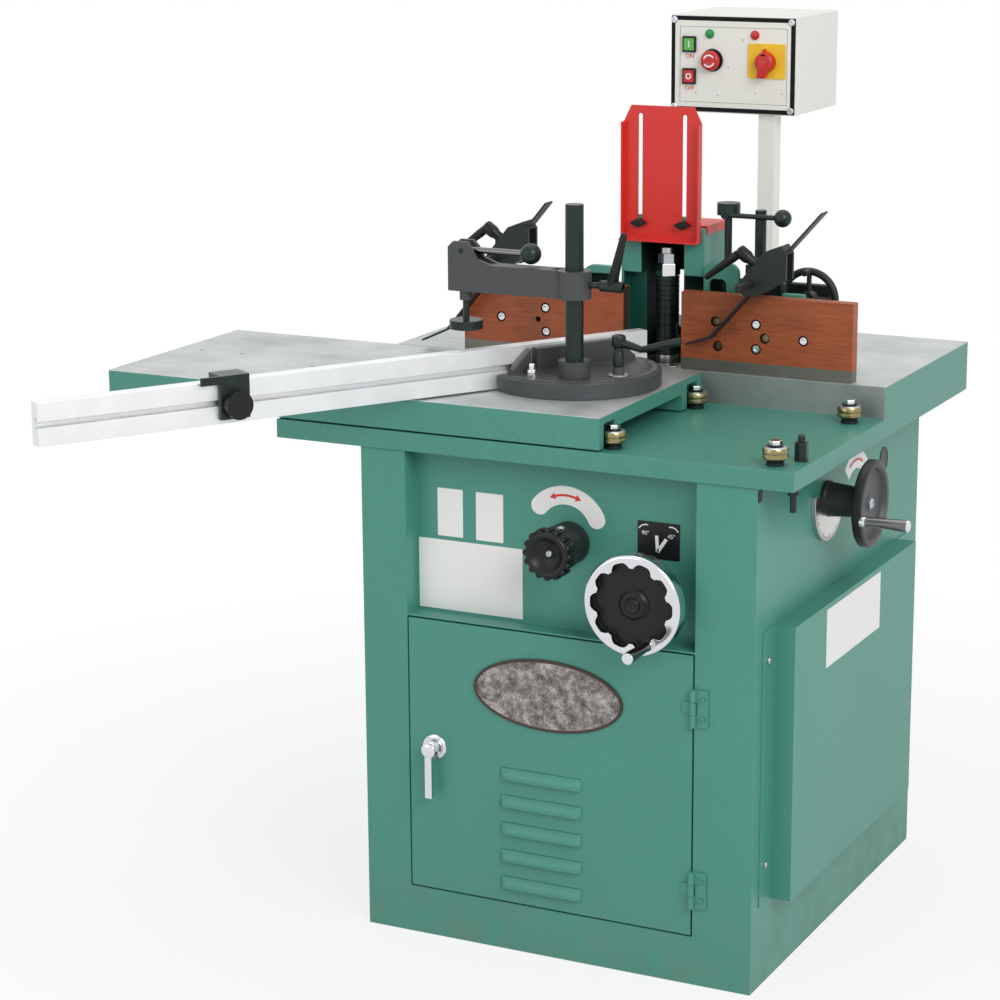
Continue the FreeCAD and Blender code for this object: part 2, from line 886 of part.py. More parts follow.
def lift_wheel_grip():
    start = lift_wheel_x + S.lift_rim_radius + S.slide_gap
    sleeve = rod(S.grip_radius, (start, *lift_grip_at), S.grip_length + S.grip_end, "x")
    piece("lift_wheel_grip", cut(sleeve, rod(
        S.grip_pin_radius + S.running_gap, (start - S.overrun, *lift_grip_at),
        S.grip_length + S.overrun, "x")))


def main_table():
    x = (table_left, table_right)
    skirt = S.skirt_thickness
    under = (S.cabinet_height, plate_bottom)
    axis = (spindle_x, spindle_y)
    seat = rod(S.ring_radius, (*axis, table_top - S.ring_thickness), S.ring_thickness + S.overrun)
    hole = rod(S.table_hole_radius, (*axis, plate_bottom - S.overrun), S.plate_thickness + S.overrun)
    plate = cut(box(x, (step, table_back), (plate_bottom, table_top)), seat, hole)
    shelf = box(x, (table_front, step), (S.cabinet_height, shelf_top))
    skirts = [box(x, span, under) for span in (run(step, skirt), (table_back - skirt, table_back))]
    between = (step + skirt, table_back - skirt)
    ribs_x = [
        run(table_left, skirt), (table_right - skirt, table_right),
        run(-half_width, S.rib_thickness), (half_width - S.rib_thickness, half_width),
    ]
    ribs = [box(span, between, under) for span in ribs_x]
    ribs.append(box(about(0, half_width - S.rib_thickness), (half_depth - S.rib_thickness, half_depth), under))
    ways = []
    for side in (-1, 1):
        near = spindle_x + S.way_offset * side
        start = near - S.way_thickness * ((1 - side) / 2)
        centre = (start, spindle_y, table_top)
        angles = (S.way_front_angle, S.way_back_angle)
        arc = cut(wedge_rod(S.way_outer, centre, S.way_thickness, *angles),
                  rod(S.way_inner, centre, S.way_thickness, "x"))
        span = run(start, S.way_thickness)
        tip = spindle_y + S.way_inner * sine(S.way_back_angle)
        tip_height = table_top - S.way_outer * cosine(S.way_back_angle)
        hanger = box(span, run(tip, S.way_thickness * 2), (tip_height, plate_bottom))
        foot = table_top - S.way_outer * cosine(S.way_front_angle)
        heel = spindle_y + S.way_inner * sine(S.way_front_angle)
        ways.append(fuse(arc, hanger, box(span, (step, heel), (foot, S.cabinet_height))))
    piece("main_table", group(plate, shelf, *skirts, *ribs, *ways))


def table_ring():
    outer = S.ring_radius - S.running_gap
    piece("table_ring", turned(
        [(S.ring_bore, -S.ring_thickness), (outer, -S.ring_thickness), (outer, 0), (S.ring_bore, 0)],
        (spindle_x, spindle_y, table_top)))


roller_rows = (table_front + S.roller_row_margin, step - S.roller_row_back_margin)
roller_places = [
    (table_left + along, row)
    for row in roller_rows for along in (S.roller_first, S.roller_second, S.roller_third)
]
roller_bottom = shelf_top + S.stud_base_height + S.slide_gap
roller_top = roller_bottom + S.roller_height
head_bottom = roller_top + S.slide_gap
head_top = head_bottom + S.stud_head_height


def roller_studs():
    base, shank, head = S.stud_base_radius, S.stud_radius, S.stud_head_radius
    base_top = shelf_top + S.stud_base_height
    profile = [
        (0, shelf_top), (base, shelf_top), (base, base_top), (shank, base_top), (shank, head_bottom),
        (head, head_bottom), (head, head_top), (0, head_top),
    ]
    piece("roller_studs", group(*[turned(profile, (x, y, 0)) for x, y in roller_places]))


def track_rollers():
    bore = S.stud_radius + S.running_gap
    rim = S.roller_radius
    side = rim - S.roller_bevel
    profile = [
        (bore, roller_bottom), (side, roller_bottom), (rim, roller_bottom + S.roller_bevel),
        (rim, roller_top - S.roller_bevel), (side, roller_top), (bore, roller_top),
    ]
    for number, (x, y) in enumerate(roller_places, start=1):
        piece(f"track_roller_{number}", turned(profile, (x, y, 0)))


def table_stop():
    at = (table_right - S.stop_from_right, table_front + S.stop_from_front, shelf_top)
    piece("table_stop", rod(S.stop_radius, at, S.stop_height))


slider_x = (-S.slider_left, S.slider_length - S.slider_left)


def sliding_table():
    y = (table_front, step - S.slider_back_gap)
    slab = box(slider_x, y, (slider_bottom, table_top))
    half = S.roller_radius + S.groove_clearance
    long_x = (slider_x[0] - S.overrun, slider_x[1] + S.overrun)
    grooves = [
        box(long_x, about(row, half), (slider_bottom - S.overrun, head_top + S.groove_roof))
        for row in roller_rows
    ]
    tapped = [
        (S.tapped_first, S.tapped_row, S.tapped_depth),
        (S.tapped_second, S.tapped_row, S.tapped_depth),
        (S.tapped_third, S.tapped_front_row, S.tapped_front_depth),
    ]
    holes = [
        rod(S.tapped_radius, (slider_x[0] + along, table_front + row, table_top - depth), depth + S.overrun)
        for along, row, depth in tapped
    ]
    piece("sliding_table", cut(slab, *grooves, *holes))


def from_spindle(out, depth):
    """A place in the spindle's upright plane: out to the back, and down from the table's top."""
    return (spindle_x, spindle_y + out, table_top - depth)


pulley_top = S.housing_bottom + S.bracket_thickness + S.pulley_gap
pulley_bottom = pulley_top + S.pulley_height
motor_top = pulley_bottom + S.pulley_gap + S.motor_flange_thickness


def tilt_cradle():
    wall = S.cradle_wall
    outer = S.cradle_half_width
    inner = outer - wall
    depth = about(spindle_y, S.cradle_half_depth)
    upright = (table_top - S.cradle_bottom, table_top - S.cradle_top)
    parts = []
    for side in (-1, 1):
        middle = spindle_x + (inner + wall / 2) * side
        parts.append(box(about(middle, wall / 2), depth, upright))
        shoe_middle = spindle_x + (S.way_offset + S.way_thickness - S.shoe_reach / 2) * side
        start = (shoe_middle - S.shoe_reach / 2, spindle_y, table_top)
        shoe = wedge_rod(S.way_inner - S.slide_gap, start, S.shoe_reach, -S.shoe_angle, S.shoe_angle)
        parts.append(cut(shoe, rod(S.shoe_inner, start, S.shoe_reach, "x")))
    lower = S.cradle_bottom - S.guide_thickness
    for depth_top in (S.guide_upper, lower):
        z = (table_top - depth_top - S.guide_thickness, table_top - depth_top)
        parts.append(box(about(spindle_x, outer), about(spindle_y, S.guide_half_depth), z))
    bore = rod(S.housing_radius + S.running_gap, from_spindle(0, S.cradle_bottom + S.overrun),
               S.cradle_bottom - S.cradle_top + S.overrun * 2)
    piece("tilt_cradle", cut(fuse(*parts), bore))


def spindle_cartridge():
    """The bored housing with its two bearings and the bracket that carries the motor."""
    top, bottom = S.housing_top, S.housing_bottom
    tube = rod(S.housing_radius, from_spindle(0, bottom), bottom - top)
    plate_z = (table_top - bottom - S.bracket_thickness, table_top - bottom)
    motor_y = spindle_y - S.motor_distance
    cheek_outer = S.cheek_offset + S.cheek_thickness
    flange_y = about(motor_y, S.motor_flange_half)
    plates = [
        box(about(spindle_x, S.bracket_half_width), (motor_y, spindle_y + S.bracket_back), plate_z),
        box(about(spindle_x, cheek_outer), flange_y, plate_z),
    ]
    flange_z = (table_top - motor_top, table_top - motor_top + S.motor_flange_thickness)
    plates.append(box(about(spindle_x, cheek_outer), flange_y, flange_z))
    for side in (-1, 1):
        middle = spindle_x + (S.cheek_offset + S.cheek_thickness / 2) * side
        plates.append(box(about(middle, S.cheek_thickness / 2), about(motor_y, S.cheek_half_length),
                          (flange_z[0], plate_z[1])))
    drop = S.bracket_thickness + S.overrun
    bores = [
        rod(S.housing_bore, from_spindle(0, bottom + drop), bottom - top + drop + S.overrun),
        rod(S.motor_shaft_radius + S.pulley_gap, from_spindle(-S.motor_distance, motor_top + S.overrun),
            S.motor_flange_thickness + S.overrun + S.pulley_gap),
    ]
    bearing_outer = S.housing_bore - S.running_gap
    bearing_inner = S.shaft_radius + S.running_gap
    bearings = []
    for depth in (top + S.bearing_inset, bottom - S.bearing_inset - S.bearing_height):
        base = from_spindle(0, depth + S.bearing_height)
        bearings.append(cut(rod(bearing_outer, base, S.bearing_height),
                            rod(bearing_inner, base, S.bearing_height)))
    piece("spindle_cartridge", group(cut(fuse(tube, *plates), *bores), *bearings))


def motor():
    body = rod(S.motor_radius, from_spindle(-S.motor_distance, motor_top + S.motor_length), S.motor_length)
    bore = rod(S.motor_shaft_radius + S.running_gap,
               from_spindle(-S.motor_distance, motor_top + S.motor_shaft_depth),
               S.motor_shaft_depth + S.overrun)
    piece("motor", cut(body, bore))


def motor_pulley():
    at = -S.motor_distance
    shaft_end = motor_top + S.motor_shaft_depth - S.slide_gap
    piece("motor_pulley", fuse(
        rod(S.motor_pulley_radius, from_spindle(at, pulley_bottom), S.pulley_height),
        rod(S.motor_shaft_radius, from_spindle(at, shaft_end), shaft_end - pulley_top),
    ))


def drive_belt():
    def loop(small, large, low, height):
        """A tight loop's solid round two pulleys of different radius."""
        far = S.motor_distance
        lean = (large - small) / far
        across = square_root(as_size(1) - lean * lean)
        sides = prism([
            (small * across, -(small * lean)), (-(small * across), -(small * lean)),
            (-(large * across), -far - large * lean), (large * across, -far - large * lean),
        ], (spindle_x, spindle_y, low), height)
        return fuse(sides, rod(small, (spindle_x, spindle_y, low), height),
                    rod(large, (spindle_x, spindle_y - far, low), height))

    height = S.pulley_height - S.belt_margin * 2
    low = table_top - pulley_bottom + S.belt_margin
    inside = [S.spindle_pulley_radius + S.slide_gap, S.motor_pulley_radius + S.slide_gap]
    outside = [radius + S.belt_thickness for radius in inside]
    piece("drive_belt", cut(loop(*outside, low, height),
                            loop(*inside, low - S.overrun, height + S.overrun * 2)))


def spindle_shaft():
    pulley, shaft, shoulder, arbor = (
        S.spindle_pulley_radius, S.shaft_radius, S.shoulder_radius, S.arbor_radius)
    profile = [
        (0, -pulley_bottom), (pulley, -pulley_bottom), (pulley, -pulley_top), (shaft, -pulley_top),
        (shaft, -S.shoulder_bottom), (shoulder, -S.shoulder_bottom), (shoulder, S.shoulder_top),
        (arbor, S.shoulder_top), (arbor, S.arbor_top), (0, S.arbor_top),
    ]
    piece("spindle_shaft", turned(profile, from_spindle(0, 0)))


def spindle_collars():
    """Spacing collars of equal height on the arbor, held by the nut."""
    bore = S.arbor_radius + S.running_gap
    rows = int(S.collar_rows.value)
    height = (S.collar_top - S.shoulder_top) / rows
    rings = []
    for index in range(rows):
        low = S.shoulder_top + height * index
        rings.append(turned([(bore, low), (S.collar_radius, low), (S.collar_radius, low + height),
                             (bore, low + height)], from_spindle(0, 0)))
    low, high = run(S.collar_top, S.nut_height)
    nut = turned([(bore, low), (S.nut_radius, low), (S.nut_radius, high), (bore, high)], from_spindle(0, 0))
    piece("spindle_collars", group(*rings, nut))


tab_z = run(table_top + S.hood_height, S.tab_height)
knob_z = table_top + S.guard_bottom + S.guard_slot_low
adjust_x = right_edge + S.adjust_from_opening
adjust_z = table_top + S.adjust_height
arm_front = hood_front + S.arm_setback
guard_studs = [fence_middle + S.guard_slot_spacing / 2 * side for side in (-1, 1)]


def wing(x, foot_bottom):
    """A fence wing: an upright face for a board on a foot that stands on the table."""
    face = box(x, (wing_front, wing_back), (foot_bottom, table_top + S.wing_height))
    foot = box(x, run(wing_back, S.wing_foot_depth), run(foot_bottom, S.wing_foot_height))
    rib_span = S.wing_foot_depth
    ribs = [
        prism([(0, 0), (rib_span, 0), (0, S.wing_height - S.wing_foot_height)],
              (at, wing_back, foot_bottom + S.wing_foot_height), S.wing_thickness, "YZ_Plane")
        for at in (x[0], x[1] - S.wing_thickness)
    ]
    return [face, foot, *ribs]


def fence_hood():
    """The chip hood of welded plates, with the fixed left wing, the dust port and the fine adjustment's arm."""
    x = about(fence_middle, S.hood_width / 2)
    y = run(hood_front, S.hood_depth)
    z = run(table_top, S.hood_height)
    way = about(fence_middle, S.hood_opening / 2)
    back = y[1] - S.hood_wall
    roof_bottom = table_top + S.hood_opening_height
    port_at = (fence_middle, y[1], table_top + S.port_height)
    port = rod(S.port_radius, port_at, S.port_length, "y")
    port_bore = rod(S.port_radius - S.port_wall, (port_at[0], back - S.overrun, port_at[2]),
                    S.hood_wall + S.port_length + S.overrun * 2, "y")
    cheek_bottom = z[0] + S.right_cheek_rise
    walls = [
        box((x[0], way[0]), y, z), box((way[1], x[1]), y, (cheek_bottom, z[1])),
        box(way, (back, y[1]), (z[0], roof_bottom)),
        box((way[1], x[1]), (back, y[1]), (z[0], cheek_bottom)), port,
    ]
    roof = box(way, y, (roof_bottom, z[1]))
    tab = box(about(fence_middle, S.tab_width / 2), run(hood_front, S.tab_thickness), tab_z)
    stud_holes = [
        rod(S.guard_stud_radius + S.slide_gap, (at, hood_front - S.overrun, knob_z),
            S.tab_thickness + S.overrun * 2, "y")
        for at in guard_studs
    ]
    arm = box((x[1], x[1] + S.arm_reach), run(arm_front, S.arm_thickness),
              run(table_top + S.arm_bottom, S.arm_height))
    nut_bore = rod(S.adjust_screw_radius + S.slide_gap, (adjust_x, arm_front - S.overrun, adjust_z),
                   S.arm_thickness + S.overrun * 2, "y")
    left = (x[0] - S.left_wing_length, x[0])
    piece("fence_hood", group(*[cut(wall, port_bore) for wall in walls], roof, cut(tab, *stud_holes),
                              cut(arm, nut_bore), *wing(left, table_top)))


def guard_plate():
    """The red cutter guard: a slotted plate with side flanges and a lip at its bottom."""
    half = S.guard_width / 2
    low, high = run(table_top + S.guard_bottom, S.guard_height)
    slope = S.guard_chamfer
    plate = prism([
        (-half, low), (half, low), (half, high - slope), (half - slope / 2, high),
        (slope / 2 - half, high), (-half, high - slope),
    ], (fence_middle, guard_front, 0), S.guard_sheet, "XZ_Plane")
    flange_y = (guard_front - S.guard_flange, guard_front)
    flanges = []
    for side in (-1, 1):
        middle = fence_middle + (half - S.guard_sheet / 2) * side
        flanges.append(box(about(middle, S.guard_sheet / 2), flange_y, (low, high - slope)))
    lip = box(about(fence_middle, half), (guard_front - S.guard_lip, guard_front), run(low, S.guard_sheet))
    slots = []
    for at in guard_studs:
        ends = (low + S.guard_slot_low, low + S.guard_slot_high)
        y = (guard_front - S.overrun, guard_back + S.overrun)
        slots.append(box(about(at, S.guard_slot_radius), y, ends))
        slots += [rod(S.guard_slot_radius, (at, y[0], z), y[1] - y[0], "y") for z in ends]
    piece("guard_plate", cut(fuse(plate, *flanges, lip), *slots))


def guard_knobs():
    face = guard_front - S.slide_gap
    knobs = []
    for at in guard_studs:
        half, tall = S.guard_knob_width / 2, S.guard_knob_height / 2
        wings = prism([(-half, 0), (0, -tall), (half, 0), (0, tall)],
                      (at, face - S.guard_knob_length, knob_z), S.guard_knob_length, "XZ_Plane")
        stud = rod(S.guard_stud_radius, (at, face - S.guard_knob_length, knob_z),
                   hood_front + S.tab_thickness - face + S.guard_knob_length, "y")
        knobs.append(fuse(wings, stud))
    piece("guard_knobs", group(*knobs))


def fence_boards():
    z = run(table_top + S.board_lift, S.board_height)
    y = (board_front, board_back)
    piece("left_fence_board", box((left_edge - S.board_length, left_edge), y, z))
    piece("right_fence_board", box(run(right_edge, S.board_length), y, z))


right_wing = run(right_edge + S.wing_inset, S.right_wing_length)


def right_fence_bracket():
    lug_top = adjust_z + S.adjust_lug_width / 2
    lug = box(about(adjust_x, S.adjust_lug_width / 2), (wing_front, wing_back),
              (table_top + S.board_lift, lug_top))
    screw_hole = rod(S.adjust_screw_radius + S.running_gap, (adjust_x, wing_front - S.overrun, adjust_z),
                     S.wing_thickness + S.overrun * 2, "y")
    piece("right_fence_bracket", cut(fuse(*wing(right_wing, table_top + S.slide_gap), lug), screw_hole))


def fence_adjust_wheel():
    x, z = adjust_x, adjust_z
    y = wing_back + S.adjust_wheel_setback
    start = wing_front + S.slide_gap
    screw_end = arm_front + S.arm_thickness + S.adjust_screw_tail
    spokes = []
    for index in range(SPOKE_COUNT):
        spoke = rod(S.adjust_spoke_radius, (x, y, z), S.adjust_rim_circle)
        spokes.append(place(spoke, (x, y, z), turning("y", 360 * index / SPOKE_COUNT)))
    crank_z = z + S.adjust_rim_circle
    piece("fence_adjust_wheel", fuse(
        rod(S.adjust_screw_radius, (x, start, z), screw_end - start, "y"),
        rod(S.adjust_hub_radius, (x, y - S.adjust_hub_length / 2, z), S.adjust_hub_length, "y"),
        hoop(S.adjust_rim_circle, S.adjust_rim_radius, (x, y, z), "y"),
        *spokes,
        rod(S.crank_radius, (x, y - S.crank_length, crank_z), S.crank_length, "y"),
    ))


post_y = board_front + S.holddown_post_setback
block_y = about(post_y, S.holddown_block_half)
holder_back = board_front - S.blade_front_gap
holder_front = holder_back - S.holder_width


def holddown(side, x, z, lower, upper, blade_angle, foot, foot_angle):
    """One hold-down: a clamp block with a pivot rod, a swinging blade in a holder, and its lever."""
    post_x = x - S.holddown_post_out
    half = S.holddown_block_half
    block = box((post_x - half, x + S.holddown_block_right), block_y, about(z, half))
    rod_front = holder_front - S.pivot_rod_proud
    pivot = rod(S.pivot_rod_radius, (x, rod_front, z), block_y[1] - rod_front, "y")
    bore = rod(S.holddown_post_radius + S.running_gap, (post_x, post_y, z - half - S.overrun),
               (half + S.overrun) * 2)
    piece(f"{side}_holddown_bracket", cut(fuse(block, pivot), bore))

    holder = prism([
        (-S.holder_toe_out, -S.holder_toe_drop), (-S.holder_heel, -S.holder_drop),
        (S.holder_toe_drop, -S.holder_drop), (S.holder_right, S.holder_right_low),
        (S.holder_right, S.holder_right_high), (S.holder_top_right, S.holder_top),
        (S.holder_top_left, S.holder_shoulder),
    ], (0, 0, 0), S.holder_width, "XZ_Plane")
    pocket = box((S.holder_pocket_start, S.holder_right + S.overrun),
                 (S.holder_wall, S.holder_width - S.holder_wall), (S.holder_right_low, S.holder_right_high))
    below = S.pivot_rod_radius + S.blade_thickness
    strip_y = about(S.holder_width / 2, S.blade_width / 2)
    strip = place(
        box((0, lower + upper), (0, S.blade_width), (0, S.blade_thickness)),
        (below * sine(blade_angle) - lower * cosine(blade_angle), strip_y[0],
         -(below * cosine(blade_angle)) - lower * sine(blade_angle)),
        turning("y", -blade_angle))
    toe = place(
        box((0, foot + S.blade_thickness), (0, S.blade_width), (0, S.blade_thickness)),
        (below * sine(blade_angle) - lower * cosine(blade_angle) - foot * cosine(foot_angle), strip_y[0],
         -(below * cosine(blade_angle)) - lower * sine(blade_angle) - foot * sine(foot_angle)),
        turning("y", -foot_angle))
    eye = rod(S.pivot_rod_radius + S.running_gap, (0, -S.overrun, 0), S.holder_width + S.overrun * 2, "y")
    middle = S.holder_width / 2
    rise = S.lever_rise_angle
    seat = (S.lever_seat_right, middle, S.lever_seat_up)
    screw_length = S.lever_hub_start + S.lever_hub_length - S.lever_hub_cap
    screw = place(rod(S.lever_screw_radius, seat, screw_length), seat, turning("y", rise - 90))
    blade = piece(f"{side}_holddown_blade", cut(fuse(cut(holder, pocket), strip, toe, screw), eye))
    place(blade, (x, holder_front, z))

    hub = rod(S.lever_hub_radius, (0, 0, S.lever_hub_start), S.lever_hub_length)
    hub_top = S.lever_hub_start + S.lever_hub_length - S.lever_arm_radius
    arm = place(rod(S.lever_arm_radius, (0, 0, hub_top), S.lever_arm_length), (0, 0, hub_top),
                turning("y", -S.lever_arm_angle))
    eye = rod(S.lever_screw_radius + S.running_gap, (0, 0, 0), screw_length + S.slide_gap)
    lever = piece(f"{side}_holddown_lever", cut(fuse(hub, arm), eye))
    place(lever, (x + S.lever_seat_right, holder_front + middle, z + S.lever_seat_up), turning("y", rise - 90))


def holddown_posts():
    """The posts on the wings' feet; the right ones carry a knob and a cross rod with a ball."""
    foot_top = table_top + S.wing_foot_height

    def post(radius, x, top, bottom):
        return rod(radius, (x, post_y, bottom), table_top + top - bottom)

    piece("left_holddown_post", post(
        S.holddown_post_radius, left_edge - S.left_holddown_reach - S.holddown_post_out,
        S.left_post_height, foot_top))
    seat = foot_top + S.slide_gap
    stem_x = right_edge + S.stem_reach
    cross_y = post_y - S.holddown_post_radius - S.cross_rod_radius - S.slide_gap
    cross_z = table_top + S.cross_rod_height
    stem = fuse(
        post(S.stem_radius, stem_x, S.stem_top, seat),
        rod(S.stem_knob_radius, (stem_x, post_y, table_top + S.stem_top), S.stem_knob_height),
        rod(S.stem_radius, (stem_x, cross_y - S.stem_radius, cross_z), post_y - cross_y + S.stem_radius, "y"),
        rod(S.cross_rod_radius, (stem_x, cross_y, cross_z), S.cross_rod_length, "x"),
        ball(S.cross_ball_radius, (stem_x + S.cross_rod_length, cross_y, cross_z)),
    )
    piece("right_holddown_post", group(
        post(S.holddown_post_radius, right_edge + S.right_holddown_reach - S.holddown_post_out,
             S.right_post_height, seat),
        post(S.guide_post_radius, right_edge + S.guide_post_reach, S.guide_post_height, seat),
        stem,
    ))


def holddowns():
    holddown("right", right_edge + S.right_holddown_reach, table_top + S.right_holddown_height,
             S.right_blade_lower, S.right_blade_upper, S.right_blade_angle,
             S.right_foot_length, S.right_foot_angle)
    holddown("left", left_edge - S.left_holddown_reach, table_top + S.left_holddown_height,
             S.left_blade_lower, S.left_blade_upper, S.left_blade_angle,
             S.left_foot_length, S.left_foot_angle)


mitre_at = (slider_x[0] + S.mitre_from_left, table_front + S.mitre_from_front)
mitre_base_bottom = table_top + S.slide_gap


def on_mitre(along, out, up):
    """A place on the mitre gauge: along its fence, out to the front and up from the table."""
    x = mitre_at[0] + along * cosine(S.mitre_angle) + out * sine(S.mitre_angle)
    y = mitre_at[1] + along * sine(S.mitre_angle) - out * cosine(S.mitre_angle)
    return (x, y, table_top + up)


def set_on_mitre(thing):
    return place(thing, (*mitre_at, table_top), turning("z", S.mitre_angle))


def mitre_base():
    """A half disc that turns on the table, with the upright that the fence is bolted to."""
    reach = S.mitre_disc_radius + S.overrun
    disc = common(rod(S.mitre_disc_radius, (0, 0, S.slide_gap), S.mitre_disc_height),
                  box(about(0, reach), (-reach, S.mitre_fence_offset), run(0, S.mitre_disc_height + reach)))
    base = S.slide_gap + S.mitre_disc_height
    flat, end = S.upright_flat_half, S.upright_half
    upright = prism([
        (-end, base - S.upright_end_height), (end, base - S.upright_end_height),
        (end, base + S.upright_end_height),
        (flat, base + S.upright_height), (-flat, base + S.upright_height), (-end, base + S.upright_end_height),
    ], (0, S.mitre_fence_offset - S.upright_thickness, 0), S.upright_thickness, "XZ_Plane")
    lever_post = rod(S.mitre_lever_radius, (S.mitre_lever_along, -S.mitre_lever_out, S.slide_gap),
                     S.mitre_disc_height + S.mitre_lever_height / 2)
    socket = rod(S.clamp_spigot_radius + S.running_gap,
                 (S.clamp_along, -S.clamp_out, base - S.clamp_spigot_depth - S.slide_gap),
                 S.clamp_spigot_depth + S.overrun)
    set_on_mitre(piece("mitre_base", cut(fuse(disc, upright, lever_post), socket)))


def mitre_fence():
    x = (-S.mitre_fence_left, S.mitre_fence_right)
    y = run(S.mitre_fence_offset, S.mitre_fence_thickness)
    bar = box(x, y, run(S.mitre_fence_lift, S.mitre_fence_height))
    long_x = (x[0] - S.overrun, x[1] + S.overrun)
    middle = S.mitre_fence_lift + S.mitre_slot_height
    neck = box(long_x, (y[0] - S.overrun, y[0] + S.mitre_slot_depth), about(middle, S.mitre_slot_width / 2))
    head = box(long_x, run(y[0] + S.mitre_slot_depth, S.mitre_slot_head_depth),
               about(middle, S.mitre_slot_head_width / 2))
    set_on_mitre(piece("mitre_fence", cut(bar, neck, head)))


def mitre_lever():
    low = S.slide_gap * 2 + S.mitre_disc_height + S.mitre_lever_height / 2
    hub = rod(S.mitre_lever_radius, (0, 0, 0), S.mitre_lever_height / 2)
    reach, angle = S.mitre_lever_arm_length, S.mitre_lever_arm_angle
    base = S.mitre_lever_arm_radius
    arm = rod(S.mitre_lever_arm_radius, (0, 0, base), reach)
    place(arm, (0, 0, base), turning("y", as_size(90) - angle))
    knob = ball(S.mitre_lever_radius, (reach * cosine(angle), 0, base + reach * sine(angle)))
    lever = piece("mitre_lever", fuse(hub, arm, knob))
    place(lever, on_mitre(S.mitre_lever_along, S.mitre_lever_out, low))


def stop_block():
    """A block that rides over the top of the mitre fence, with a flag to its left."""
    gap, wall = S.slide_gap, S.stop_block_wall
    x = run(-S.stop_block_along, S.stop_block_length)
    fence_y = run(S.mitre_fence_offset, S.mitre_fence_thickness)
    top = S.mitre_fence_lift + S.mitre_fence_height
    z = (top + wall - S.stop_block_height, top + wall)
    shell = box(x, (fence_y[0] - wall, fence_y[1] + wall), z)
    inside = box((x[0] - S.overrun, x[1] + S.overrun), (fence_y[0] - gap, fence_y[1] + gap),
                 (z[0] - S.overrun, top + gap))
    flag = box((x[0] - S.stop_tab_length, x[0]), run(fence_y[0] - wall, S.stop_tab_thickness),
               (z[1] - S.stop_tab_height, z[1]))
    screw_x = x[0] + S.stop_block_length / 2
    screw_hole = rod(S.stop_screw_radius + S.running_gap,
                     (screw_x, fence_y[0] - wall - S.overrun, z[0] + S.stop_knob_height),
                     wall + S.overrun, "y")
    set_on_mitre(piece("stop_block", cut(fuse(shell, flag), inside, screw_hole)))


def stop_knob():
    wall = S.stop_block_wall
    x = S.stop_block_length / 2 - S.stop_block_along
    y = S.mitre_fence_offset - wall
    z = S.mitre_fence_lift + S.mitre_fence_height + wall - S.stop_block_height + S.stop_knob_height
    start = y - S.slide_gap - S.stop_knob_thickness
    disc = rod(S.stop_knob_radius, (x, start, z), S.stop_knob_thickness, "y")
    screw = rod(S.stop_screw_radius, (x, start, z), S.stop_knob_thickness + wall, "y")
    set_on_mitre(piece("stop_knob", fuse(disc, screw)))


clamp_up = S.slide_gap + S.mitre_disc_height
clamp_at = on_mitre(S.clamp_along, S.clamp_out, clamp_up)


def set_on_clamp(thing):
    return place(thing, clamp_at, turning("z", S.clamp_angle))


arm_low = S.clamp_arm_low
arm_high = S.clamp_arm_low + S.clamp_arm_height
cam_z = arm_high + S.clamp_cam_rise


def clamp_post():
    set_on_clamp(piece("clamp_post", fuse(
        rod(S.clamp_spigot_radius, (0, 0, -S.clamp_spigot_depth), S.clamp_spigot_depth + S.clamp_collar_height),
        rod(S.clamp_collar_radius, (0, 0, S.slide_gap), S.clamp_collar_height),
        rod(S.clamp_post_radius, (0, 0, S.slide_gap), S.clamp_post_height),
    )))


def clamp_arm():
    half, reach, edge = S.clamp_arm_half, S.clamp_arm_reach, S.clamp_lug_edge
    sleeve = rod(S.clamp_sleeve_radius, (0, 0, arm_low), S.clamp_arm_height)
    bar = box((0, reach), about(0, half), (arm_low, arm_high - S.running_gap))
    rise, back = S.clamp_lug_rise, reach - S.clamp_lug_length
    lugs = [
        prism([
            (back - rise, arm_low), (reach, arm_low), (reach, arm_high + rise - edge),
            (reach - edge, arm_high + rise), (back + edge, arm_high + rise), (back, arm_high + rise - edge),
            (back - edge, arm_high + edge), (back - rise, arm_high - S.running_gap),
        ], (0, start, 0), S.clamp_lug_thickness, "XZ_Plane")
        for start in (-half, half - S.clamp_lug_thickness)
    ]
    boss = rod(S.clamp_boss_radius, (S.clamp_plunger_reach, 0, arm_low - S.clamp_boss_drop), S.clamp_boss_drop)
    post_bore = rod(S.clamp_post_radius + S.running_gap, (0, 0, arm_low - S.overrun),
                    S.clamp_arm_height + S.overrun * 2)
    plunger_bore = rod(S.plunger_radius + S.running_gap,
                       (S.clamp_plunger_reach, 0, arm_low - S.clamp_boss_drop - S.overrun),
                       S.clamp_boss_drop + S.clamp_arm_height + S.overrun * 2)
    pin_bore = rod(S.clamp_cam_pin_radius + S.running_gap, (S.clamp_plunger_reach, -half - S.overrun, cam_z),
                   (half + S.overrun) * 2, "y")
    screw_bore = rod(S.clamp_screw_radius / 2 + S.running_gap,
                     (-S.clamp_sleeve_radius - S.overrun, 0, arm_low + S.clamp_screw_height),
                     S.clamp_sleeve_radius, "x")
    set_on_clamp(piece("clamp_arm", cut(
        fuse(sleeve, bar, *lugs, boss), post_bore, plunger_bore, pin_bore, screw_bore)))


def clamp_cam_lever():
    inner = S.clamp_arm_half - S.clamp_lug_thickness - S.slide_gap
    x, z = S.clamp_plunger_reach, cam_z
    set_on_clamp(piece("clamp_cam_lever", fuse(
        rod(S.clamp_cam_radius, (x, -inner, z), inner * 2, "y"),
        rod(S.clamp_cam_pin_radius, (x, -S.clamp_arm_half, z), S.clamp_arm_half * 2, "y"),
        rod(S.clamp_cam_rod_radius, (x - S.clamp_cam_rod_length, 0, z), S.clamp_cam_rod_length, "x"),
        ball(S.clamp_ball_radius, (x - S.clamp_cam_rod_length - S.clamp_ball_radius / 2, 0, z)),
    )))


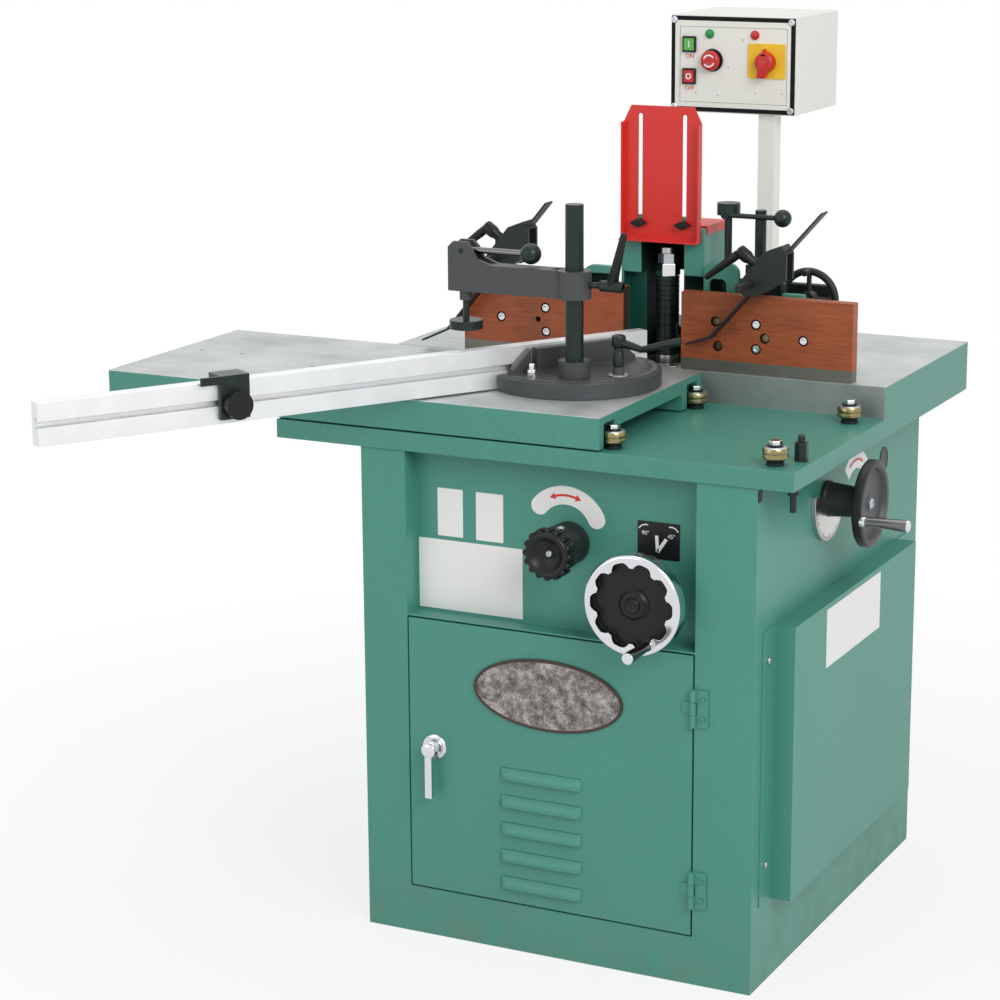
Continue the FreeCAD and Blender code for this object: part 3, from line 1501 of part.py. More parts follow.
def clamp_plunger():
    foot_low = arm_low - S.plunger_foot_drop
    rod_top = cam_z - S.clamp_cam_radius - S.slide_gap
    at = S.clamp_plunger_reach
    set_on_clamp(piece("clamp_plunger", fuse(
        rod(S.plunger_foot_radius, (at, 0, foot_low), S.plunger_foot_height),
        rod(S.plunger_radius, (at, 0, foot_low), rod_top - foot_low),
    )))


def clamp_lock_lever():
    """A lever nut on the screw that tightens the arm on its post."""
    z = arm_low + S.clamp_screw_height
    face = -S.clamp_sleeve_radius - S.slide_gap
    end = face - S.clamp_screw_length
    tip_x = end + S.clamp_screw_radius
    screw_tip = S.clamp_sleeve_radius - S.clamp_post_radius - S.slide_gap * 2
    set_on_clamp(piece("clamp_lock_lever", fuse(
        rod(S.clamp_screw_radius, (end, 0, z), S.clamp_screw_length, "x"),
        rod(S.clamp_screw_radius / 2, (face, 0, z), screw_tip, "x"),
        rod(S.clamp_handle_radius, (tip_x, 0, z), S.clamp_handle_length),
        ball(S.clamp_screw_radius, (tip_x, 0, z + S.clamp_handle_length)),
    )))


box_x = about(S.box_middle, S.box_width / 2)
column_y = run(table_back + S.column_foot_sheet, S.column_depth)
box_front = column_y[0] - S.box_front_overhang
box_back_of_wall = box_front + S.box_wall


def control_column():
    foot = box(about(S.column_middle, S.column_foot_width / 2), (table_back, column_y[0]),
               (table_top - S.column_foot_height, table_top))
    shaft = box(about(S.column_middle, S.column_width / 2), column_y,
                (table_top - S.column_foot_height, S.box_bottom))
    piece("control_column", fuse(foot, shaft))


def box_place(column, height):
    return (box_x[0] + column, S.box_bottom + height)


BUTTONS = {
    "on_button": (S.button_column, S.on_height),
    "off_button": (S.button_column, S.off_height),
    "stop_button": (S.stop_button_column, S.stop_button_height),
}


def control_box():
    wall = S.box_wall
    y = run(box_front, S.box_depth)
    z = run(S.box_bottom, S.box_height)
    inside = box((box_x[0] + wall, box_x[1] - wall), (y[0] + wall, y[1] - wall), (z[0] + wall, z[1] - wall))
    holes = [(S.button_radius + S.slide_gap, spot) for spot in BUTTONS.values()]
    holes.append((S.switch_shaft_radius + S.running_gap, (S.switch_column, S.switch_height)))
    bores = []
    for radius, spot in holes:
        at_x, at_z = box_place(*spot)
        bores.append(rod(radius, (at_x, box_front - S.overrun, at_z), wall + S.overrun * 2, "y"))
    piece("control_box", cut(box(box_x, y, z), inside, *bores))


def buttons():
    for label, spot in BUTTONS.items():
        x, z = box_place(*spot)
        start = box_front - S.button_proud
        length = S.button_proud + S.box_wall + S.button_inside
        collar_at = box_back_of_wall + S.button_collar
        solids = [
            rod(S.button_radius, (x, start, z), length, "y"),
            rod(S.button_radius + S.button_collar, (x, collar_at, z), S.button_collar_thickness, "y"),
        ]
        if label == "stop_button":
            head = start - S.mushroom_thickness
            solids.append(rod(S.mushroom_radius, (x, head, z), S.mushroom_thickness, "y"))
        piece(label, fuse(*solids))


def main_switch():
    x, z = box_place(S.switch_column, S.switch_height)
    disc_front = box_front - S.slide_gap - S.switch_disc_thickness
    bar_front = disc_front - S.switch_bar_thickness
    piece("main_switch", fuse(
        rod(S.switch_disc_radius, (x, disc_front, z), S.switch_disc_thickness, "y"),
        box(about(x, S.switch_bar_width / 2), (bar_front, disc_front), about(z, S.switch_bar_length / 2)),
        rod(S.switch_shaft_radius, (x, disc_front, z), box_back_of_wall + S.button_inside - disc_front, "y"),
    ))


for build in (
    cabinet_shell, door_hinges, access_door, door_handle, side_cover, wheel_bushes, lock_knob,
    tilt_wheel, tilt_wheel_grip, lift_wheel, lift_wheel_grip, main_table, table_ring, roller_studs,
    track_rollers, table_stop, sliding_table, tilt_cradle, spindle_cartridge, motor, motor_pulley,
    drive_belt, spindle_shaft, spindle_collars, fence_hood, guard_plate, guard_knobs, fence_boards,
    right_fence_bracket, fence_adjust_wheel, holddown_posts, holddowns, mitre_base, mitre_fence, mitre_lever,
    stop_block, stop_knob, clamp_post, clamp_arm, clamp_cam_lever, clamp_plunger, clamp_lock_lever,
    control_column, control_box, buttons, main_switch,
):
    build()
doc.recompute()

failed = [each.Label for each in doc.Objects if {"Invalid", "Error"} & set(each.State)]
if failed:
    raise RuntimeError(f"objects that failed: {failed}")
for each in PIECES:
    if each.Shape.isNull() or not each.Shape.isValid() or not each.Shape.Solids:
        raise RuntimeError(f"no valid solid in {each.Label}")

os.makedirs("parts", exist_ok=True)
for each in PIECES:
    each.Shape.exportStep(f"parts/{each.Label}.step")
print(len(PIECES), "pieces,", sum(len(each.Shape.Solids) for each in PIECES), "solids")
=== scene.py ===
# %% [markdown]
# A spindle moulder with a sliding table: a green sheet cabinet, cast tables ground bright on top, a fence with
# two boards, a mitre gauge with a clamp, and a control box on a column. The exact solids come from the packed
# model. This lesson dresses them: first the camera, the light and the finishes, then one group of pieces after
# another.

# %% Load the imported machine
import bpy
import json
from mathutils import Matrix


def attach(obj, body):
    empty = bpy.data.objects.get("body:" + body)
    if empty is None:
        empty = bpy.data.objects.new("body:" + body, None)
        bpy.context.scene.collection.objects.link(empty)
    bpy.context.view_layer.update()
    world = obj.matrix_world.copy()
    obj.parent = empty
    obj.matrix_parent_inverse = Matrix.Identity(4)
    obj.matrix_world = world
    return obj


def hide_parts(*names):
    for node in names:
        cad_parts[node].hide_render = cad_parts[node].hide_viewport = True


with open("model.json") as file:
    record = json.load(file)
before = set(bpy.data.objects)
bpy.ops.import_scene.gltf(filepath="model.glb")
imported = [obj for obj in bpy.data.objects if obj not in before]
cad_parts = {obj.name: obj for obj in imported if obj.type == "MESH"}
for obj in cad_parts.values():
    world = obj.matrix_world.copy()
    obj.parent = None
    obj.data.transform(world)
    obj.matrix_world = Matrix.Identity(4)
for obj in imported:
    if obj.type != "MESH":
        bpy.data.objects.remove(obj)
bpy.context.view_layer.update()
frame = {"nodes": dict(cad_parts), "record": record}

import bpy
import json
import math
from mathutils import Euler, Matrix, Vector

# %% [markdown]
# The photograph was taken from the front right and a little above the table, with a long lens. A camera can be
# placed by eye and nudged, or worked out from straight edges of known length. Here its turn, its tilt and its
# lens were worked out from the cabinet's and tables' edges, so the render can be laid over the photograph.

# %% Place the camera
turn, tilt, roll = math.radians(26.8645), math.radians(13.9852), math.radians(-0.397)
backward = Vector((math.sin(turn) * math.cos(tilt), -math.cos(turn) * math.cos(tilt), math.sin(tilt)))
level = Vector((math.cos(turn), math.sin(turn), 0))
upward = backward.cross(level)
across = math.cos(roll) * level + math.sin(roll) * upward
above = math.cos(roll) * upward - math.sin(roll) * level
bpy.ops.object.camera_add(location=(1.73807, -3.96734, 1.72859))
camera = bpy.context.object
camera.name = "photo_camera"
camera.data.lens, camera.data.sensor_width = 99.774, 36
camera.rotation_euler = Matrix((across, above, backward)).transposed().to_euler()
bpy.context.scene.camera = camera
bpy.context.scene.view_settings.view_transform = "Standard"
print("camera at", [round(v, 3) for v in camera.location])

# %% [markdown]
# Shader maths reads best as a sum on paper. A small class wraps one socket of a node tree, and its operators
# add Math nodes, so a mask can be written as 1 - scratches * 0.5. Every other node comes from one method that
# takes the node's type, its settings and what goes into its sockets.


# %% A wire that can be added and multiplied
class Wire:
    def __init__(self, tree, socket=None):
        self.tree, self.socket = tree, socket

    def node(self, kind, settings=None, sockets=None, out=0):
        made = self.tree.nodes.new(kind)
        for key, value in (settings or {}).items():
            if key == "stops":
                ends = made.color_ramp.elements
                ends[0].position, ends[0].color = value[0][0], (*value[0][1], 1)
                ends[1].position, ends[1].color = value[-1][0], (*value[-1][1], 1)
                for at, colour in value[1:-1]:
                    ends.new(at).color = (*colour, 1)
            else:
                setattr(made, key, value)
        for key, value in (sockets or {}).items():
            if isinstance(value, Wire):
                self.tree.links.new(value.socket, made.inputs[key])
            else:
                made.inputs[key].default_value = value
        return Wire(self.tree, made.outputs[out] if made.outputs else None)

    def maths(self, operation, first, second=0.0):
        return self.node("ShaderNodeMath", {"operation": operation}, {0: first, 1: second})

    def __add__(self, other):
        return self.maths("ADD", self, other)

    def __radd__(self, other):
        return self.maths("ADD", other, self)

    def __sub__(self, other):
        return self.maths("SUBTRACT", self, other)

    def __rsub__(self, other):
        return self.maths("SUBTRACT", other, self)

    def __mul__(self, other):
        return self.maths("MULTIPLY", self, other)

    def __rmul__(self, other):
        return self.maths("MULTIPLY", other, self)

    def __gt__(self, other):
        return self.maths("GREATER_THAN", self, other)

    def __lt__(self, other):
        return self.maths("LESS_THAN", self, other)


print("sums on a wire add", "ShaderNodeMath")

# %% [markdown]
# A finish begins with the place of each point on the piece and ends in one Principled shader. Between the two,
# clouds of noise give the unevenness that paint, cast iron and steel have at different scales: blotches of a
# hand's width, specks of a few millimetres and a grain that can only be felt.


# %% Begin and end a finish
def begin_finish(name):
    made = bpy.data.materials.new(name)
    made.use_nodes = True
    made.node_tree.nodes.clear()
    tree = Wire(made.node_tree)
    return made, tree, tree.node("ShaderNodeTexCoord", out="Object")


def end_finish(tree, sockets):
    shader = tree.node("ShaderNodeBsdfPrincipled", None, sockets)
    tree.node("ShaderNodeOutputMaterial", None, {"Surface": shader})


def cloud(tree, place, scale, detail=3.0, rough=0.55):
    return tree.node("ShaderNodeTexNoise", None,
                     {"Vector": place, "Scale": scale, "Detail": detail, "Roughness": rough})


def stretched(tree, place, scale, turned=(0, 0, 0)):
    return tree.node("ShaderNodeMapping", None, {"Vector": place, "Scale": scale, "Rotation": turned})


def blended(tree, share, first, second):
    colours = {0: share}
    for key, value in ((6, first), (7, second)):
        colours[key] = value if isinstance(value, Wire) else (*value, 1)
    return tree.node("ShaderNodeMix", {"data_type": "RGBA"}, colours, out=2)


def ramped(tree, share, *stops):
    return tree.node("ShaderNodeValToRGB", {"stops": stops}, {"Fac": share})


def masked(tree, share, low, high):
    """A share below low gives 0, above high gives 1, with a straight slope between."""
    return tree.node("ShaderNodeMapRange", None, {"Value": share, "From Min": low, "From Max": high})


def bumped(tree, height, distance, strength=1.0):
    return tree.node("ShaderNodeBump", None, {"Height": height, "Distance": distance, "Strength": strength})


print("a finish is begun, mixed and ended by", 8, "small functions")

# %% [markdown]
# Machine paint is sprayed thick on sheet and castings. Close up it has an orange-peel skin, a light mottle
# where it went on unevenly, and a few rubbed spots. One function makes it in any colour, because the cabinet,
# the guard and the control box differ only in colour, gloss and grain. The cabinet's foot also gathers some
# dust.


# %% Machine paint
def machine_paint(name, colour, gloss=0.4, peel=420.0, mottle=0.1, rub=0.5):
    made, tree, place = begin_finish(name)
    blotches = cloud(tree, place, 5.0)
    specks = cloud(tree, place, 160.0, 2.0)
    rubbed = masked(tree, cloud(tree, place, 34.0, 6.0, 0.7), 0.64, 0.74) * rub
    height = tree.node("ShaderNodeSeparateXYZ", None, {"Vector": place}, out="Z")
    dust = masked(tree, height, 0.16, 0.0) * masked(tree, cloud(tree, place, 22.0, 5.0), 0.35, 0.7) * 0.35
    shade = blotches * mottle + specks * mottle
    low = [c * (1 - mottle * 1.1) for c in colour]
    high = [min(1.0, c * (1 + mottle * 1.1)) for c in colour]
    paint = blended(tree, shade * (0.5 / mottle), low, high)
    paint = blended(tree, rubbed * 0.22, paint, [min(1.0, c * 0.75 + 0.16) for c in colour])
    paint = blended(tree, dust, paint, (0.2, 0.19, 0.16))
    rough = gloss + specks * 0.1 + rubbed * 0.14 + dust * 0.5 - 0.05
    skin = cloud(tree, place, peel, 2.0, 0.4)
    end_finish(tree, {"Base Color": paint, "Roughness": rough, "Normal": bumped(tree, skin, 0.0004, 0.28),
                      "Specular IOR Level": 0.45})
    return made


GREEN = (0.068, 0.285, 0.222)
green_paint = machine_paint("green_machine_paint", GREEN, 0.4)
red_paint = machine_paint("red_guard_paint", (0.7, 0.028, 0.02), 0.34, 520.0, 0.05, 0.2)
white_paint = machine_paint("control_box_paint", (0.86, 0.87, 0.81), 0.42, 700.0, 0.03, 0.2)
motor_paint = machine_paint("motor_paint", (0.1, 0.13, 0.15), 0.45)
print("paints:", green_paint.name, red_paint.name, white_paint.name)

# %% [markdown]
# Cast iron that is ground flat shows faint parallel strokes, cloudy stains from hands and wood, and a satin
# shine. The tables are painted below and ground only on top, so one finish holds both and chooses by height:
# iron above the edge of the top face, paint below it. The step beside the track is bare as well.


# %% Painted castings with a ground top
TABLE_TOP, SHELF, STEP, SKIN = 0.864, 0.8126, 0.02, 0.0009


def ground_colour(tree, place):
    strokes = cloud(tree, stretched(tree, place, (6.0, 900.0, 6.0)), 1.0, 3.0, 0.6)
    stains = cloud(tree, place, 7.0, 5.0, 0.6)
    pits = masked(tree, cloud(tree, place, 210.0, 3.0), 0.62, 0.75)
    tone = ramped(tree, stains * 0.55 + strokes * 0.45, (0.28, (0.27, 0.295, 0.285)), (0.5, (0.52, 0.55, 0.54)),
                  (0.72, (0.67, 0.695, 0.685)))
    return blended(tree, pits * 0.25, tone, (0.3, 0.31, 0.3)), strokes, stains


def ground_casting(name, step_bare=False):
    made, tree, place = begin_finish(name)
    iron, strokes, stains = ground_colour(tree, place)
    parts = [tree.node("ShaderNodeSeparateXYZ", None, {"Vector": place}, out=axis) for axis in "XYZ"]
    bare = parts[2] > TABLE_TOP - SKIN
    if step_bare:
        near = masked(tree, tree.maths("ABSOLUTE", parts[1] - STEP), 0.0011, 0.001)
        edge = near * (parts[2] > SHELF + SKIN)
        bare = tree.maths("MAXIMUM", bare, edge)
        # The bare step face gets a darker, greener tint than the ground top: painted shade on this vertical face.
        iron = blended(tree, edge * 0.6, iron, (0.16, 0.19, 0.18))
    blotches = cloud(tree, place, 5.0)
    specks = cloud(tree, place, 210.0, 3.0)
    paint = blended(tree, blotches * 0.35 + specks * 0.65, [c * 0.72 for c in GREEN], [c * 1.16 for c in GREEN])
    rough = bare * (0.1 + stains * 0.12 - strokes * 0.1) + 0.36 + specks * 0.08
    grain = cloud(tree, place, 300.0, 3.0)
    relief = grain * (1 - bare) + strokes * bare * 0.25
    end_finish(tree, {"Base Color": blended(tree, bare, paint, iron), "Roughness": rough,
                      "Metallic": bare * 0.8, "Normal": bumped(tree, relief, 0.0005, 0.3)})
    return made


main_casting = ground_casting("main_table_casting", True)
sliding_casting = ground_casting("sliding_table_casting")
print("castings:", main_casting.name, sliding_casting.name)

# %% [markdown]
# Bare metals differ in tone, gloss and the way the tool left them. Turned and drawn steel has fine scratches,
# chrome is almost a mirror, and a drawn aluminium bar shows long lines. One function takes the tone, the
# roughness and how the scratches are stretched.


# %% Bare metals
def bare_metal(name, colour, rough, stretch=(60.0, 60.0, 60.0), turned=(0, 0, 0), spread=0.12, relief=0.12):
    made, tree, place = begin_finish(name)
    scratches = cloud(tree, stretched(tree, place, stretch, turned), 6.0, 4.0, 0.65)
    smears = cloud(tree, place, 26.0, 4.0)
    tone = blended(tree, scratches * 0.6 + smears * 0.4, [c * (1 - spread) for c in colour],
                   [min(1.0, c * (1 + spread)) for c in colour])
    end_finish(tree, {"Base Color": tone, "Metallic": 1.0, "Roughness": rough * 0.7 + smears * rough * 0.6,
                      "Normal": bumped(tree, scratches, 0.0002, relief)})
    return made


bright_steel = bare_metal("bright_steel", (0.62, 0.62, 0.6), 0.3)
chrome = bare_metal("chrome", (0.7, 0.71, 0.73), 0.13, spread=0.05, relief=0.03)
MITRE_TURN = math.radians(-57.8)
aluminium = bare_metal("drawn_aluminium", (0.8, 0.81, 0.82), 0.52, (4.0, 260.0, 260.0), (0, 0, MITRE_TURN))
bronze = bare_metal("roller_bronze", (0.3, 0.26, 0.13), 0.24, spread=0.35)
zinc = bare_metal("zinc_screws", (0.5, 0.53, 0.56), 0.36)
dark_chrome = bare_metal("dark_chrome", (0.17, 0.165, 0.17), 0.2)
print("metals:", bright_steel.name, chrome.name, aluminium.name, bronze.name, zinc.name)

# %% [markdown]
# The black pieces are of three kinds: castings with a grainy crust, oil-blackened steel with a low shine, and
# moulded plastic. They share one function with a different grain and gloss. Rubbed spots show a little of what
# is below.


# %% Black castings, black steel and plastic
def dark_skin(name, colour, rough, grain, depth, rub=(0.16, 0.16, 0.15), metal=0.0, rub_share=0.25, shine=0.3):
    made, tree, place = begin_finish(name)
    crust = cloud(tree, place, grain, 4.0, 0.6)
    smears = cloud(tree, place, 30.0, 4.0)
    rubbed = masked(tree, cloud(tree, place, 70.0, 6.0, 0.7), 0.62, 0.72) * rub_share
    tone = blended(tree, crust * 0.5 + smears * 0.5, [c * 0.72 for c in colour], [c * 1.3 for c in colour])
    end_finish(tree, {"Base Color": blended(tree, rubbed, tone, rub), "Metallic": metal,
                      "Roughness": rough - 0.08 + smears * 0.16, "Normal": bumped(tree, crust, depth, 0.35),
                      "Specular IOR Level": shine})
    return made


black_casting = dark_skin("black_casting", (0.016, 0.022, 0.02), 0.44, 420.0, 0.0007, rub_share=0.14)
arm_casting = dark_skin("clamp_arm_casting", (0.058, 0.062, 0.066), 0.42, 520.0, 0.0006, rub_share=0.18,
                        shine=0.4)
black_steel = dark_skin("black_steel", (0.022, 0.034, 0.03), 0.3, 160.0, 0.0002, (0.18, 0.19, 0.18), 0.45, 0.15)
black_plastic = dark_skin("black_plastic", (0.007, 0.008, 0.008), 0.34, 900.0, 0.0002, (0.03, 0.03, 0.03))
belt_rubber = dark_skin("belt_rubber", (0.008, 0.01, 0.01), 0.75, 600.0, 0.0004, (0.02, 0.02, 0.02), shine=0.15)
red_plastic = dark_skin("red_plastic", (0.56, 0.014, 0.012), 0.28, 700.0, 0.0001, (0.62, 0.04, 0.03), shine=0.5)
green_plastic = dark_skin("green_plastic", (0.02, 0.3, 0.09), 0.3, 700.0, 0.0001, (0.06, 0.4, 0.16))
yellow_plastic = dark_skin("yellow_plastic", (0.88, 0.56, 0.03), 0.36, 700.0, 0.0001, (0.8, 0.52, 0.08))
print("dark skins:", black_casting.name, arm_casting.name, black_steel.name, black_plastic.name)

# %% [markdown]
# The fence boards are pressed laminated wood, oiled red brown, with short dark grain along their length and
# darker blotches. Their lower edge is a strip of grey steel that slides on the table. Stretching the noise
# along the board turns clouds into grain.


# %% Fence board wood with its steel strip
def board_finish(name, strip_top):
    made, tree, place = begin_finish(name)
    grain = cloud(tree, stretched(tree, place, (26.0, 300.0, 300.0)), 1.0, 6.0, 0.65)
    rings = cloud(tree, stretched(tree, place, (3.0, 40.0, 40.0)), 1.0, 4.0)
    blotches = masked(tree, cloud(tree, place, 11.0, 4.0), 0.52, 0.72)
    wood = ramped(tree, grain * 0.7 + rings * 0.3, (0.3, (0.19, 0.04, 0.012)), (0.48, (0.35, 0.076, 0.02)),
                  (0.72, (0.44, 0.11, 0.032)))
    wood = blended(tree, blotches * 0.45, wood, (0.12, 0.045, 0.018))
    height = tree.node("ShaderNodeSeparateXYZ", None, {"Vector": place}, out="Z")
    strip = height < strip_top
    lines = cloud(tree, stretched(tree, place, (10.0, 500.0, 500.0)), 1.0, 3.0)
    steel = blended(tree, lines, (0.12, 0.115, 0.1), (0.24, 0.23, 0.2))
    end_finish(tree, {"Base Color": blended(tree, strip, wood, steel), "Metallic": strip * 0.8,
                      "Roughness": 0.46 - strip * 0.1 + grain * 0.08,
                      "Normal": bumped(tree, grain * (1 - strip) + lines * strip * 0.3, 0.0005, 0.3)})
    return made


board_wood = board_finish("fence_board_wood", 0.8826)
print("boards:", board_wood.name)

# %% [markdown]
# Each node of the model keeps its exact solid, but a real casting or sheet has no knife edges. A copy of the
# node's mesh is merged, its flat faces are joined again, and a narrow bevel rounds its edges so that they catch
# the light. The copy then stands for the node, rides on the node's body and wears the finish.


# %% Break the edges of a node
def clear_selection():
    if bpy.context.object and bpy.context.object.mode != "OBJECT":
        bpy.ops.object.mode_set(mode="OBJECT")
    bpy.ops.object.select_all(action="DESELECT")


def only(piece):
    clear_selection()
    piece.select_set(True)
    bpy.context.view_layer.objects.active = piece


def applied(piece, kind, **settings):
    only(piece)
    modifier = piece.modifiers.new(kind.lower(), kind)
    for key, value in settings.items():
        setattr(modifier, key, value)
    bpy.ops.object.modifier_apply(modifier=modifier.name)
    return piece


def crisp(piece, angle=38):
    """Large faces keep their own direction, so only the narrow bevels look round."""
    only(piece)
    bpy.ops.mesh.customdata_custom_splitnormals_clear()
    bpy.ops.object.shade_smooth_by_angle(angle=math.radians(angle))
    return applied(piece, "WEIGHTED_NORMAL", keep_sharp=True)


def wear(piece, finish, body, slot, stands_for=()):
    piece.data.materials.clear()
    piece.data.materials.append(finish)
    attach(piece, body)
    if stands_for:
        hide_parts(*stands_for)
    return piece


def finished(piece, width, steps, *dress, angle=38):
    """Rounds the edges, then puts on the dress: a finish, a body, a material slot, which is not used, and the
    nodes it stands for.
    """
    applied(piece, "BEVEL", width=width, segments=steps, limit_method="ANGLE", angle_limit=math.radians(angle),
            use_clamp_overlap=False, miter_outer="MITER_ARC")
    return wear(crisp(piece, angle), *dress)


node_body = {node: body for body, nodes in frame["record"]["behaviour"]["bodies"].items() for node in nodes}
node_slot = {part["node"]: part["material_slot"] for part in frame["record"]["subparts"]}


def eased(node, width, finish):
    piece = bpy.data.objects.new(node + "_eased", frame["nodes"][node].data.copy())
    bpy.context.scene.collection.objects.link(piece)
    only(piece)
    bpy.ops.object.mode_set(mode="EDIT")
    bpy.ops.mesh.select_all(action="SELECT")
    bpy.ops.mesh.customdata_custom_splitnormals_clear()
    bpy.ops.mesh.remove_doubles(threshold=0.00001)
    bpy.ops.mesh.dissolve_limited(angle_limit=math.radians(0.4))
    bpy.ops.object.mode_set(mode="OBJECT")
    return finished(piece, width, 2, finish, node_body[node], node_slot[node], [node])


EASED = {
    "access_door": (0.0008, green_paint), "side_cover": (0.0006, green_paint),
    "door_hinges": (0.0006, green_paint),
    "wheel_bushes": (0.0012, black_casting), "sliding_table": (0.0012, sliding_casting),
    "table_ring": (0.0006, bright_steel), "spindle_shaft": (0.0006, bright_steel),
    "left_fence_board": (0.0006, board_wood), "right_fence_board": (0.0006, board_wood),
    "right_fence_bracket": (0.001, green_paint), "fence_adjust_wheel": (0.0008, black_casting),
    "guard_plate": (0.0006, red_paint), "guard_knobs": (0.001, black_plastic),
    "mitre_fence": (0.0005, aluminium), "clamp_arm": (0.0005, arm_casting), "mitre_base": (0.0018, arm_casting),
    "control_column": (0.0015, white_paint), "control_box": (0.0025, white_paint),
    "motor": (0.003, motor_paint), "motor_pulley": (0.001, black_casting), "drive_belt": (0.001, belt_rubber),
    "tilt_cradle": (0.0002, black_casting), "spindle_cartridge": (0.0008, black_casting),
    "left_holddown_blade": (0.0004, black_casting), "right_holddown_blade": (0.0004, black_casting),
    "right_holddown_post": (0.0004, black_steel), "door_handle": (0.0005, chrome),
}
BLACK_SKINS = {"black_casting": black_casting, "black_steel": black_steel, "black_plastic": black_plastic}
PLAIN_BLACK = ("clamp_cam_lever", "clamp_plunger", "clamp_post", "left_holddown_bracket", "left_holddown_post",
               "right_holddown_bracket", "stop_block", "stop_knob")
for name in PLAIN_BLACK:
    EASED[name] = (0.0008, BLACK_SKINS[node_slot[name]])
for name, (width, finish) in EASED.items():
    eased(name, width, finish)
print(len(EASED), "nodes eased")

# %% [markdown]
# New pieces start as a cube or a cylinder that is added at its size and place. The faces to shape are picked by
# where they lie and which way they look, as a hand would click them, and then extruded, inset or moved in edit
# mode. A few moves come up again and again, so each has a name here.


# %% Start a piece and pick its faces
FACING = 0.9
ALONG = {"x": (0, math.pi / 2, 0), "y": (-math.pi / 2, 0, 0), "z": (0, 0, 0)}


def settle():
    bpy.ops.object.transform_apply(location=True, rotation=True, scale=True)


def block(name, low, high):
    clear_selection()
    middle = [(a + b) / 2 for a, b in zip(low, high)]
    bpy.ops.mesh.primitive_cube_add(size=1, location=middle, scale=[b - a for a, b in zip(low, high)])
    settle()
    bpy.context.object.name = name
    return bpy.context.object


def drum(name, radius, foot, height, axis, sides):
    clear_selection()
    middle = Vector(foot)
    middle["xyz".index(axis)] += height / 2
    bpy.ops.mesh.primitive_cylinder_add(vertices=sides, radius=radius, depth=abs(height), location=middle,
                                        rotation=ALONG[axis])
    settle()
    bpy.context.object.name = name
    return bpy.context.object


def pick(piece, test, kind="faces"):
    """Opens the piece in edit mode with only those faces, edges or corners selected that pass the test."""
    only(piece)
    mesh = piece.data
    for group in (mesh.vertices, mesh.edges, mesh.polygons):
        group.foreach_set("select", [False] * len(group))
    if kind == "faces":
        for face in mesh.polygons:
            face.select = bool(test(face.center, face.normal))
    elif kind == "edges":
        for edge in mesh.edges:
            start, end = (mesh.vertices[i].co for i in edge.vertices)
            edge.select = bool(test((start + end) / 2, end - start))
    else:
        for corner in mesh.vertices:
            corner.select = bool(test(corner.co, corner.normal))
    bpy.context.tool_settings.mesh_select_mode = (kind == "corners", kind == "edges", kind == "faces")
    bpy.ops.object.mode_set(mode="EDIT")


def everything(at, way):
    return True


def front(at, normal):
    return normal.y < -FACING


def pull(x=0.0, y=0.0, z=0.0):
    bpy.ops.mesh.extrude_region_move(TRANSFORM_OT_translate={"value": (x, y, z)})


def done():
    bpy.ops.object.mode_set(mode="OBJECT")


def pushed(piece, test, **way):
    pick(piece, test)
    pull(**way)
    done()


def rimmed(piece, test, rim, **way):
    """The picked faces get an inset rim, and what lies inside it is pushed."""
    pick(piece, test)
    bpy.ops.mesh.inset(thickness=rim)
    if way:
        pull(**way)
    done()


def opened(piece, test):
    pick(piece, test)
    bpy.ops.mesh.delete(type="FACE")
    done()


def sawn(piece, axis, *places):
    """Cut lines right through a piece, across the axis at each of the places."""
    across = Vector([float(letter == axis) for letter in "xyz"])
    pick(piece, everything)
    for place in places:
        bpy.ops.mesh.select_all(action="SELECT")
        bpy.ops.mesh.bisect(plane_co=across * place, plane_no=across)
    done()


def cut(piece, cutter):
    applied(piece, "BOOLEAN", object=cutter, operation="DIFFERENCE", solver="EXACT")
    bpy.data.objects.remove(cutter)
    return piece


def slab(name, low, high, width, steps, *dress):
    return finished(block(name, low, high), width, steps, *dress)


print("tools: block, drum, pick, pull, sawn, cut")

# %% [markdown]
# The cabinet is folded sheet: a box with a frame round the door and, above it, a panel set back under the
# table. It could be five welded plates, but one cube is closer to the real sheet: cut lines mark the opening,
# the panel is pushed in, the door's opening gets a turned-in flange, and Solidify gives the sheet its
# thickness.

# %% Cabinet
LEFT_JAMB, RIGHT_JAMB, SILL, HEAD, PANEL_FOOT, CABINET_TOP = -0.2495, 0.2315, 0.077, 0.522, 0.525, 0.783
GREEN_FRAME = (green_paint, "frame", "green_paint")
cabinet = block("cabinet", (-0.3265, -0.364, 0), (0.3265, 0.364, CABINET_TOP))
sawn(cabinet, "x", LEFT_JAMB, RIGHT_JAMB)
sawn(cabinet, "z", SILL, HEAD, PANEL_FOOT)
opened(cabinet, lambda at, normal: normal.z > FACING)


def in_opening(at, normal, low, high):
    return front(at, normal) and LEFT_JAMB < at.x < RIGHT_JAMB and low < at.z < high


pushed(cabinet, lambda at, normal: in_opening(at, normal, PANEL_FOOT, CABINET_TOP), y=0.034)
pick(cabinet, lambda at, normal: in_opening(at, normal, SILL, HEAD) and at.y < -0.36)
pull(y=0.018)
bpy.ops.mesh.delete(type="FACE")
done()
applied(cabinet, "SOLIDIFY", thickness=0.0028, offset=-1.0)
finished(cabinet, 0.0012, 2, *GREEN_FRAME, ["cabinet_shell"])
print("cabinet:", len(cabinet.data.polygons), "faces")

# %% [markdown]
# The main table is one casting in two levels: a low shelf in front that carries the track rollers, and the
# thick table behind it, hollow below. The shelf comes first as a plate, its back half is pulled up to the
# table's height, and the underside is inset and pushed up to leave a skirt. A drum cuts the seat of the ring
# round the spindle.

